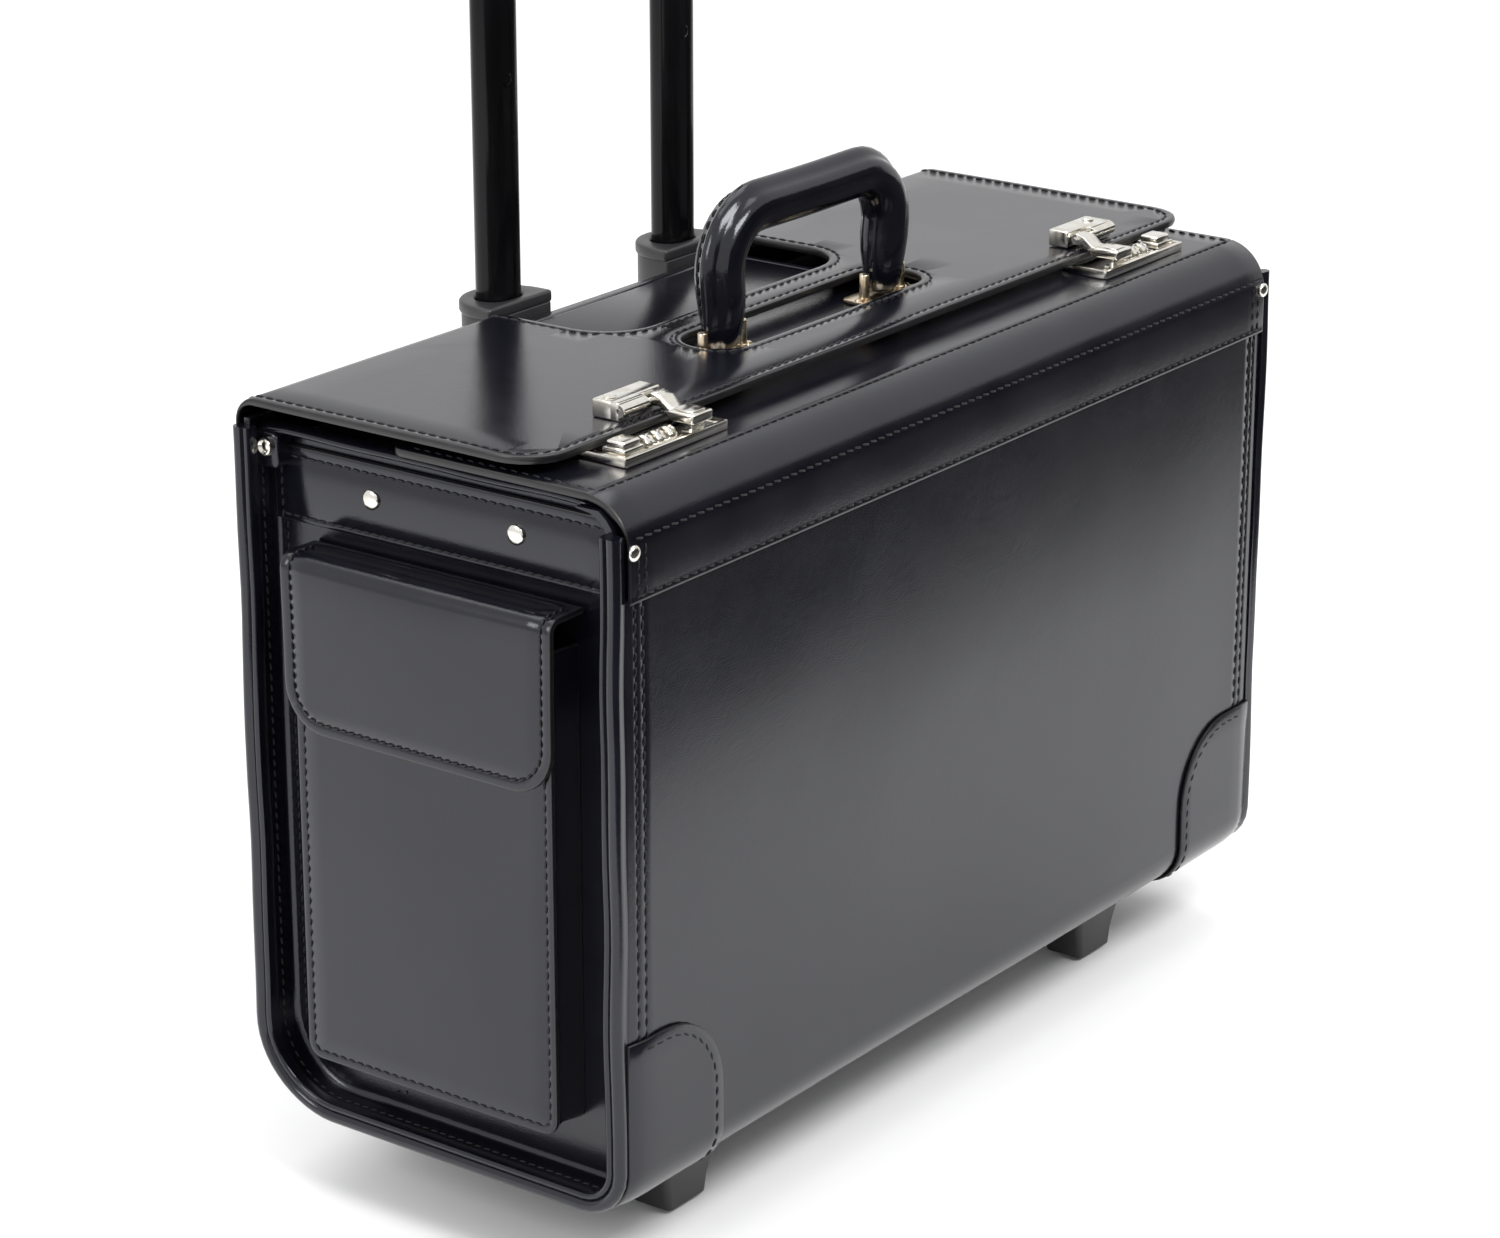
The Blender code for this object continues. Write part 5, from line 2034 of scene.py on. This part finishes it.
@dataclass(frozen=True)
class Trolley:
    """The guides on the back, two stages of rods, and the grip."""

    rod_x: float = 0.062
    rod_y: float = 0.110
    back_y: float = 0.0973
    stop_z: float = 0.4035
    collar_z: float = 0.2800
    lip_z: float = 0.3025
    lower_rod: tuple[float, float, float] = (0.022, 0.015, 0.0012)
    upper_rod: tuple[float, float, float] = (0.0174, 0.0104, 0.0)
    ribs: int = 9

    def build(self) -> None:
        """Build every piece of the trolley."""
        for side in Side:
            self._guide(side)
            self._rod(side, "lower", *self.lower_rod)
            self._rod(side, "upper", *self.upper_rod)
        self._grip()

    def d_shape(self, x: float, half_x: float, rear: float, steps: int = 8) -> list[Point]:
        """Return an outline that is flat on the case and round outwards.

        Args:
            x: its middle.
            half_x: half its width.
            rear: its farthest y.
            steps: steps in each corner.
        """
        radius = min(half_x, rear - self.back_y) - 0.0008
        points = [(x - half_x, self.back_y), (x + half_x, self.back_y)]
        points += arc((x + half_x - radius, rear - radius), radius, 0, 90, steps)
        return points + arc((x - half_x + radius, rear - radius), radius, 90, 180, steps)

    def bored(
        self, outer: Sequence[Point], bore: Sequence[Point], low: float, high: float, edge: float
    ) -> bmesh.types.BMesh:
        """Return a prism with a bore through it.

        Args:
            outer: its outline.
            bore: the bore's outline.
            low: its foot.
            high: its top.
            edge: the rounding of its rims.
        """
        bm = bmesh.new()
        edges = [e for points in (outer, bore) for e in ring_of(bm, [Vector((*p, low)) for p in points])]
        bmesh.ops.triangle_fill(bm, use_beauty=True, edges=edges, normal=(0, 0, 1))
        grown = bmesh.ops.extrude_face_region(bm, geom=bm.faces[:])
        bmesh.ops.translate(bm, verts=new_verts(grown), vec=(0, 0, high - low))
        soften(bm, edge, 3, 70.0)
        bmesh.ops.recalc_face_normals(bm, faces=bm.faces)
        return bm

    def _guide(self, side: Side) -> None:
        """Build one guide with its collar.

        Args:
            side: which rod it holds.
        """
        name = f"{side.label}_rod_guide"
        low, high = cad(name)
        x = side.value * self.rod_x
        bore = rounded(0.0114, 0.0079, 0.0077, (x, self.rod_y), 8)
        slim = self.d_shape(x, 0.0175, high.y - 0.003)
        channel = self.bored(slim, bore, 0.006, self.collar_z + 0.0005, 0.0003)
        floor = prism(slim, low.z, 0.0062, 0.0008)
        wide = self.d_shape(x, 0.0205, high.y - 0.001)
        collar = self.bored(wide, bore, self.collar_z, self.lip_z + 0.0005, 0.0008)
        lip = self.bored(self.d_shape(x, 0.0215, high.y), bore, self.lip_z, high.z, 0.0014)
        flare = self.d_shape(x, 0.0212, high.y - 0.0004)
        skirt = self.bored(flare, bore, self.collar_z, self.collar_z + 0.0035, 0.0008)
        bench(
            f"{name}_plastic", join(channel, floor, collar, lip, skirt), [Finish.PLASTIC], CASE,
            [name]
        )

    def _rod(self, side: Side, stage: str, width: float, depth: float, wall: float) -> None:
        """Build one rod, grooved along its faces.

        Args:
            side: which rod.
            stage: "lower" or "upper".
            width: its width.
            depth: its depth.
            wall: its wall, or 0 if it is closed.
        """
        name = f"{side.label}_{stage}_rod"
        low, high = cad(name)
        x = side.value * self.rod_x
        outline = self.grooved(x, width / 2, depth / 2)
        if wall:
            bore = rounded(
                width / 2 - wall, depth / 2 - wall, depth / 2 - wall - 0.0004, (x, self.rod_y), 8
            )
            bm = self.bored(outline, bore, low.z, high.z, 0.0003)
        else:
            bm = prism(outline, low.z, high.z, 0.0003)
        parts = [bm]
        if stage == "lower":
            rim = [
                (0.0, -0.0002), (0.0029, -0.0002), (0.0029, 0.00015), (0.0022, 0.0003), (0.0021, 0.0),
                (0.0, 0.0)
            ]
            spot = Matrix.Translation((x, self.rod_y - depth / 2 + 0.0004, self.stop_z))
            parts.append(moved(turned(rim, 20), spot @ TO_FRONT))
        bench(f"{name}_tube", join(*parts), [Finish.TUBE], Ride(f"trolley_{stage}"), [name])
        if stage == "lower":
            collar = self.bored(
                rounded(width / 2, depth / 2, depth / 2 - 0.0003, (x, self.rod_y), 8),
                rounded(0.0089, 0.0054, 0.0052, (x, self.rod_y), 8), high.z - 0.0012, high.z, 0.0004,
            )
            bench(f"{name}_bush", collar, [Finish.PLASTIC], Ride("trolley_lower"))

    def grooved(self, x: float, half_x: float, half_y: float) -> list[Point]:
        """Return an oval outline with a shallow groove in each long face.

        Args:
            x: its middle.
            half_x: half its width.
            half_y: half its depth.
        """
        groove, depth = half_x * 0.28, 0.0007
        radius = half_y - 0.0004
        edge = 0.0006
        points = arc((x + half_x - radius, self.rod_y - half_y + radius), radius, -90, 0, 6)
        points += arc((x + half_x - radius, self.rod_y + half_y - radius), radius, 0, 90, 6)
        top = self.rod_y + half_y
        points += [
            (x + groove, top), (x + groove - edge, top - depth), (x - groove + edge, top - depth),
            (x - groove, top)
        ]
        points += arc((x - half_x + radius, self.rod_y + half_y - radius), radius, 90, 180, 6)
        points += arc((x - half_x + radius, self.rod_y - half_y + radius), radius, 180, 270, 6)
        low = self.rod_y - half_y
        return points + [
            (x - groove, low), (x - groove + edge, low + depth), (x + groove - edge, low + depth),
            (x + groove, low)
        ]

    def _grip(self) -> None:
        """Build the grip and its release button."""
        low, high = cad("trolley_grip")
        half_x, half_z, half_y = high.x, (high.z - low.z) / 2, (high.y - low.y) / 2
        upright = Matrix(((1, 0, 0, 0), (0, 0, 1, 0), (0, 1, 0, 0), (0, 0, 0, 1)))
        middle = (low.z + high.z) / 2
        well = rounded(0.0165, 0.0065, 0.0040, (0.0, self.rod_y), 4)
        bm = prism(rounded(half_x, half_z, 0.0090, (0.0, middle), 6), -half_y, half_y, 0.0040, 4)
        moved(bm, Matrix.Translation((0, self.rod_y, 0)), upright)
        bmesh.ops.recalc_face_normals(bm, faces=bm.faces)
        bezel = self.bored(
            rounded(
                0.0185, 0.0085, 0.0050, (0.0, self.rod_y), 4
            ), well, high.z - 0.0030, high.z + 0.0004, 0.0003
        )
        ribs = []
        for k in range(self.ribs):
            reach = abs(-0.056 + 0.0045 * k) - 0.002
            for sign in (-1, 1):
                outline = rounded(0.0009, half_y * 0.62, 0.0006, (sign * reach, self.rod_y), 2)
                ribs.append(prism(outline, low.z - 0.0004, low.z + 0.003, 0.0003))
        bench(
            "trolley_grip_body", join(bm, bezel, *ribs), [Finish.PLASTIC], Ride("trolley_upper"),
            ["trolley_grip"]
        )
        low, high = cad("grip_button")
        button = prism(
            rounded(0.0160, 0.0060, 0.0037, (0.0, self.rod_y), 4), low.z + 0.0030, high.z, 0.0008, 3
        )
        bench(
            "grip_button_cap", button, [Finish.GLOSS], Ride("grip_button"), ["grip_button"]
        )


# Feet and wheels -----------------------------------------------------------------------------


@dataclass(frozen=True)
class Undercarriage:
    """The feet under the front edge, and the wheels and their housings at the rear."""

    side: Side
    wheel_y: float = 0.090
    wheel_z: float = -0.015
    wheel_radius: float = 0.021
    wheel_half: float = 0.009

    def build(self) -> None:
        """Build the foot, the housing, the wheel and the axle."""
        self._foot()
        self._housing()
        self._wheel()

    def _foot(self) -> None:
        """Build the tapered foot with its treads."""
        name = f"{self.side.label}_front_foot"
        low, high = cad(name)
        middle = (low + high) / 2
        half_x, half_y = (high.x - low.x) / 2, (high.y - low.y) / 2
        bm = bmesh.new()
        face = bm.faces.new(
            [bm.verts.new((x, y, 0)) for x, y in rounded(half_x, half_y, 0.0045, (0, 0), 4)]
        )
        shape = [
            (0.0030, 1.0, 1.0, 0.0), (0.0004, 0.93, 0.95, 0.0), (0.0216, 0.64, 0.69, -0.0012),
            (0.0084, 0.57, 0.62, -0.0008)
        ]
        for drop, wide, deep, shift in shape:
            grown = bmesh.ops.extrude_face_region(bm, geom=[face])
            if drop != shape[0][0]:
                bmesh.ops.delete(bm, geom=[face], context="FACES_ONLY")
            face = next(f for f in grown["geom"] if isinstance(f, bmesh.types.BMFace))
            across = max(v.co.x for v in face.verts), max(v.co.y for v in face.verts)
            centre_y = sum(v.co.y for v in face.verts) / len(face.verts)
            bmesh.ops.translate(bm, verts=face.verts, vec=(0, -centre_y, -drop))
            scale = (wide * half_x / across[0], deep * half_y / (across[1] - centre_y), 1)
            bmesh.ops.scale(bm, verts=face.verts, vec=scale)
            bmesh.ops.translate(bm, verts=face.verts, vec=(0, centre_y + shift, 0))
        soften(bm, 0.0010, 3, 50.0)
        moved(bm, Matrix.Translation((middle.x, middle.y, high.z)))
        treads = []
        for sign in (-1, 1):
            outline = rounded(0.0011, 0.0060, 0.0009, (middle.x + sign * 0.0045, middle.y - 0.001), 2)
            treads.append(prism(outline, low.z, low.z + 0.001, 0.0))
        bench(f"{name}_plastic", join(bm, *treads), [Finish.PLASTIC], CASE, [name])

    def _housing(self) -> None:
        """Build the housing round the rear lower edge, with the wheel arch cut between its cheeks."""
        name = f"{self.side.label}_wheel_housing"
        low, high = cad(name)
        x = (low.x + high.x) / 2
        half = (high.x - low.x) / 2
        centre = (HALF_D - REAR_RADIUS, REAR_RADIUS)
        inner = arc(centre, REAR_RADIUS + 0.0006, 270, 360, 14)
        outline = [
            (centre[0] - 0.012, -0.0006), *inner, (high.y - 0.0042, high.z), (high.y - 0.0030, high.z)
        ]
        outline += [
            (high.y, high.z - 0.006), (high.y, 0.030), (self.wheel_y + 0.0135, self.wheel_z + 0.004)
        ]
        outline += arc((self.wheel_y, self.wheel_z), 0.0090, 20, -160, 12)
        outline += [(centre[0] - 0.006, -0.0090), (centre[0] - 0.012, -0.0060)]
        reach = self.wheel_half + 0.0012
        cheek = half - reach
        parts = []
        for sign in (-1, 1):
            slab = prism(outline, 0.0, cheek, 0.0009, 2)
            start = x + reach if sign > 0 else x - half
            moved(slab, Matrix.Translation((start, 0, 0)), facing(Side.RIGHT))
            parts.append(slab)
            bolt = turned(
                [(0.0, -0.001), (0.0046, -0.001), (0.0046, 0.0006), (0.0040, 0.0011), (0.0, 0.0012)], 24
            )
            spot = Matrix.Translation(
                (x + sign * half, self.wheel_y, self.wheel_z)
            ) @ Matrix.Rotation(sign * pi / 2, 4, "Y")
            parts.append(moved(bolt, spot))
        bridge = [
            *arc(centre, REAR_RADIUS + 0.0006, 318, 360, 8), (high.y - 0.0042, high.z),
            (high.y, high.z - 0.006), (high.y, 0.020)
        ]
        bridge += arc((self.wheel_y, self.wheel_z), self.wheel_radius + 0.0040, 65, 100, 6)
        saddle = prism(bridge, -reach, reach, 0.0)
        parts.append(moved(saddle, Matrix.Translation((x, 0, 0)), facing(Side.RIGHT)))
        bmesh.ops.recalc_face_normals(parts[-1], faces=parts[-1].faces)
        screw = turned(
            [(0.0, -0.001), (0.0034, -0.001), (0.0032, 0.0007), (0.0016, 0.0012), (0.0, 0.0012)], 20
        )
        parts.append(moved(screw, Matrix.Translation((x, high.y, 0.048)), Matrix.Rotation(-pi / 2, 4, "X")))
        bench(f"{name}_plastic", join(*parts), [Finish.PLASTIC], CASE, [name])

    def _wheel(self) -> None:
        """Build the tyre, the hub and the axle."""
        name = f"{self.side.label}_wheel"
        low, high = cad(name)
        middle = (low + high) / 2
        lie = Matrix.Translation(middle) @ ALONG_X
        half, radius = self.wheel_half, self.wheel_radius
        tread = [
            (radius - 0.0016 * abs(t) ** 2, half * 0.86 * t) for t in (-1, -0.7, -0.35, 0, 0.35, 0.7, 1)
        ]
        tyre = [(0.0158, -half * 0.9), (0.0175, -half), *tread, (0.0175, half), (0.0158, half * 0.9)]
        bench(
            f"{name}_tyre", moved(turned(tyre, 48), lie), [Finish.RUBBER], Ride(name),
            [name]
        )
        hub = [
            (0.0033, -half + 0.0008), (0.0062, -half + 0.0008), (0.0072, -half + 0.0028),
            (0.0140, -half + 0.0032)
        ]
        hub += [(0.0146, -half + 0.0012), (0.0162, -half + 0.0010)]
        hub += [(r, -h) for r, h in reversed(hub)]
        spokes = []
        for k in range(5):
            rib = prism(
                rounded(0.0042, 0.0010, 0.0006, (0.0106, 0.0), 2), -half + 0.0016, half - 0.0016, 0.0003
            )
            spokes.append(moved(rib, Matrix.Rotation(2 * pi * k / 5, 4, "Z")))
        body = moved(join(turned(hub, 40), *spokes), lie)
        bench(f"{name}_hub", body, [Finish.PLASTIC], Ride(name))
        name = f"{self.side.label}_wheel_axle"
        low, high = cad(name)
        half = (high.x - low.x) / 2
        profile = [
            (0.0, -half), (0.0024, -half), (0.0030, -half + 0.0005), (0.0030, half - 0.0005),
            (0.0024, half), (0.0, half)
        ]
        bench(f"{name}_pin", moved(turned(profile, 24), lie), [Finish.STEEL], CASE, [name])


# The inside ----------------------------------------------------------------------------------


@dataclass(frozen=True)
class Inside:
    """The lined inside: lining, mouth frame, divider and the leather between the rods."""

    reach: float = 0.2244

    def build(self) -> None:
        """Build every piece of the inside."""
        self._lining()
        self._mouth_frame()
        self._divider()
        self._yoke()

    def _lining(self) -> None:
        """Build the lining board, with a bound top edge."""
        _, high = cad("case_lining")
        fold = body_fold(0.0038, high.z, high.z)
        length = run_length(fold)
        blank = Blank(
            [(-self.reach, 0.0), (self.reach, 0.0), (self.reach, length), (-self.reach, length)],
            0.0022,
            grooves_b=[0.009, length - 0.009],
            cuts_b=fold.curved(0.005),
            edge_round=0.0006,
        )
        bench(
            "lining_board", laid(blank.cut(), fold.bend), [Finish.LINING, Finish.TRIM], CASE,
            ["case_lining"]
        )
        thread = Thread()
        for s in (0.009, length - 0.009):
            thread.sew(
                [(-self.reach + 0.006, s), (self.reach - 0.006, s)], lambda x, t,
                h: fold.bend(x, t, -0.0022 - h)
            )
        thread.finish("lining_stitches", CASE, "lining")

    def _mouth_frame(self) -> None:
        """Build the steel frame round the mouth."""
        low, high = cad("mouth_frame")
        outer = rounded(high.x, high.y, 0.008, (0, 0), 6)
        inner = rounded(high.x - 0.0022, high.y - 0.0022, 0.006, (0, 0), 6)
        bm = Trolley().bored(outer, inner, low.z, high.z, 0.0005)
        bench("mouth_frame_steel", bm, [Finish.STEEL], CASE, ["mouth_frame"])

    def _divider(self) -> None:
        """Build the file divider with bound edges."""
        low, high = cad("file_divider")
        middle, half_z = (low + high) / 2, (high.z - low.z) / 2
        blank = Blank(
            rounded(
                high.x, half_z, 0.004, (0.0, middle.z), 3
            ), high.y - low.y, channels=(0.007,), edge_round=0.0012
        )
        face = low.y
        bm = laid(blank.cut(), lambda x, z, h: Vector((x, face - h, z)))
        bench("divider_board", bm, [Finish.LINING, Finish.TRIM], CASE, ["file_divider"])
        thread = Thread()
        row = rounded(high.x - 0.007, half_z - 0.007, 0.003, (0.0, middle.z), 3)
        thread.sew(row, lambda x, z, h: Vector((x, face - h, z)), closed=True)
        thread.finish("divider_stitches", CASE, "lining")

    def _yoke(self) -> None:
        """Build the fixed leather panel between the rods."""
        low, high = cad("trolley_yoke")
        middle = (low + high) / 2
        blank = Blank(
            rounded(
                high.x, (high.y - low.y) / 2, 0.006, (0.0, middle.y), 4
            ), high.z - low.z, channels=(0.005,)
        )
        bm = laid(blank.cut(), lambda x, y, h: Vector((x, y, high.z + h)))
        bench("yoke_sheet", bm, [Finish.LEATHER, Finish.EDGE], CASE, ["trolley_yoke"])


# The studio ----------------------------------------------------------------------------------


@dataclass(frozen=True)
class Studio:
    """Floor, lights and camera."""

    eye: tuple[float, float, float] = (-1.4390, -1.0527, 0.8300)
    look: tuple[float, float, float] = (0.75887, 0.55906, -0.33401)
    lens: float = 102.79
    world: float = 1.0
    paper_edge: float = 0.47
    paper_half: float = 6.0
    flag_half: Point = (4.0, 1.5)

    def build(self) -> None:
        """Build the floor, the lights and the camera."""
        self._floor()
        self._sky()
        self._softbox("overhead", (0.2, 0.5, 2.4), (0.0, 0.05, 0.2), (2.2, 1.6), 22.0)
        self._softbox("key", (-0.3, -1.3, 1.8), (0.0, -0.3, 0.0), (1.2, 0.7), 34.0)
        self._softbox("end", (-2.0, 0.5, 1.3), (-0.3, 0.0, 0.0), (0.9, 0.9), 16.0)
        camera = bpy.data.cameras.new("camera")
        camera.lens = self.lens
        camera.sensor_width = 36.0
        holder = bpy.data.objects.new("camera", camera)
        holder.location = self.eye
        holder.rotation_euler = Vector(self.look).to_track_quat("-Z", "Y").to_euler()
        bpy.context.scene.collection.objects.link(holder)
        bpy.context.scene.camera = holder
        bpy.context.scene.view_settings.view_transform = "Standard"

    def _floor(self) -> None:
        """Build the floor, and the dark flags in front that only the polished leather sees."""
        paper, cloth, edge = self.paper_half, self.flag_half, self.paper_edge
        self._card("studio_floor", (0.0, paper - edge, 0.0), 0.0, (paper, paper), Finish.PAPER)
        for name, place, turn, half in (
            ("studio_dark_floor", (0.5, -edge - cloth[1], -0.002), 0.0, cloth),
            ("studio_dark_wall", (1.5, -2.6, 0.7), pi / 2, (3.5, 0.8)),
        ):
            flag = self._card(name, place, turn, half, Finish.FLAG)
            flag.visible_camera = False

    def _card(
        self, name: str, place: Sequence[float], turn: float, half: Point, finish: Finish
    ) -> bpy.types.Object:
        """Lay or stand a flat card of the studio.

        Args:
            name: its name.
            place: its middle.
            turn: its turn about x.
            half: half its width and height.
            finish: its finish.

        Returns:
            The card.
        """
        bm = bmesh.new()
        bmesh.ops.create_grid(bm, x_segments=1, y_segments=1, size=1.0)
        bmesh.ops.scale(bm, verts=bm.verts, vec=(*half, 1.0))
        mesh = bpy.data.meshes.new(name)
        bm.to_mesh(mesh)
        bm.free()
        mesh.materials.append(finish.material)
        card = bpy.data.objects.new(name, mesh)
        card.location, card.rotation_euler.x = place, turn
        bpy.context.scene.collection.objects.link(card)
        return card

    def _sky(self) -> None:
        """Light everything with a white surround."""
        world = bpy.data.worlds.new("studio_white")
        world.use_nodes = True
        surround = world.node_tree.nodes["Background"]
        surround.inputs["Color"].default_value = (1.0, 1.0, 1.0, 1.0)
        surround.inputs["Strength"].default_value = self.world
        bpy.context.scene.world = world

    def _softbox(
        self, name: str, place: Sequence[float], aim: Sequence[float], size: Point, power: float
    ) -> None:
        """Add a softbox.

        Args:
            name: its name.
            place: where it stands.
            aim: the point that it is turned to.
            size: its width and height.
            power: its power in watts.
        """
        light = bpy.data.lights.new(name, "AREA")
        light.shape = "RECTANGLE"
        light.size, light.size_y = size
        light.energy = power
        holder = bpy.data.objects.new(name, light)
        holder.location = place
        holder.rotation_euler = (Vector(aim) - Vector(place)).to_track_quat("-Z", "Y").to_euler()
        bpy.context.scene.collection.objects.link(holder)


def main() -> None:
    """Build the case's pieces in order and report each one."""
    logging.basicConfig(level=logging.INFO, format="%(message)s")
    Wrap().build()
    FrontSheet().build()
    LidSheet().build()
    for side in Side:
        CaseEnd(side).build()
        Lock(side).build()
        Undercarriage(side).build()
    CarryHandle().build()
    Trolley().build()
    Inside().build()
    Studio().build()


if __name__ == "__main__":
    main()
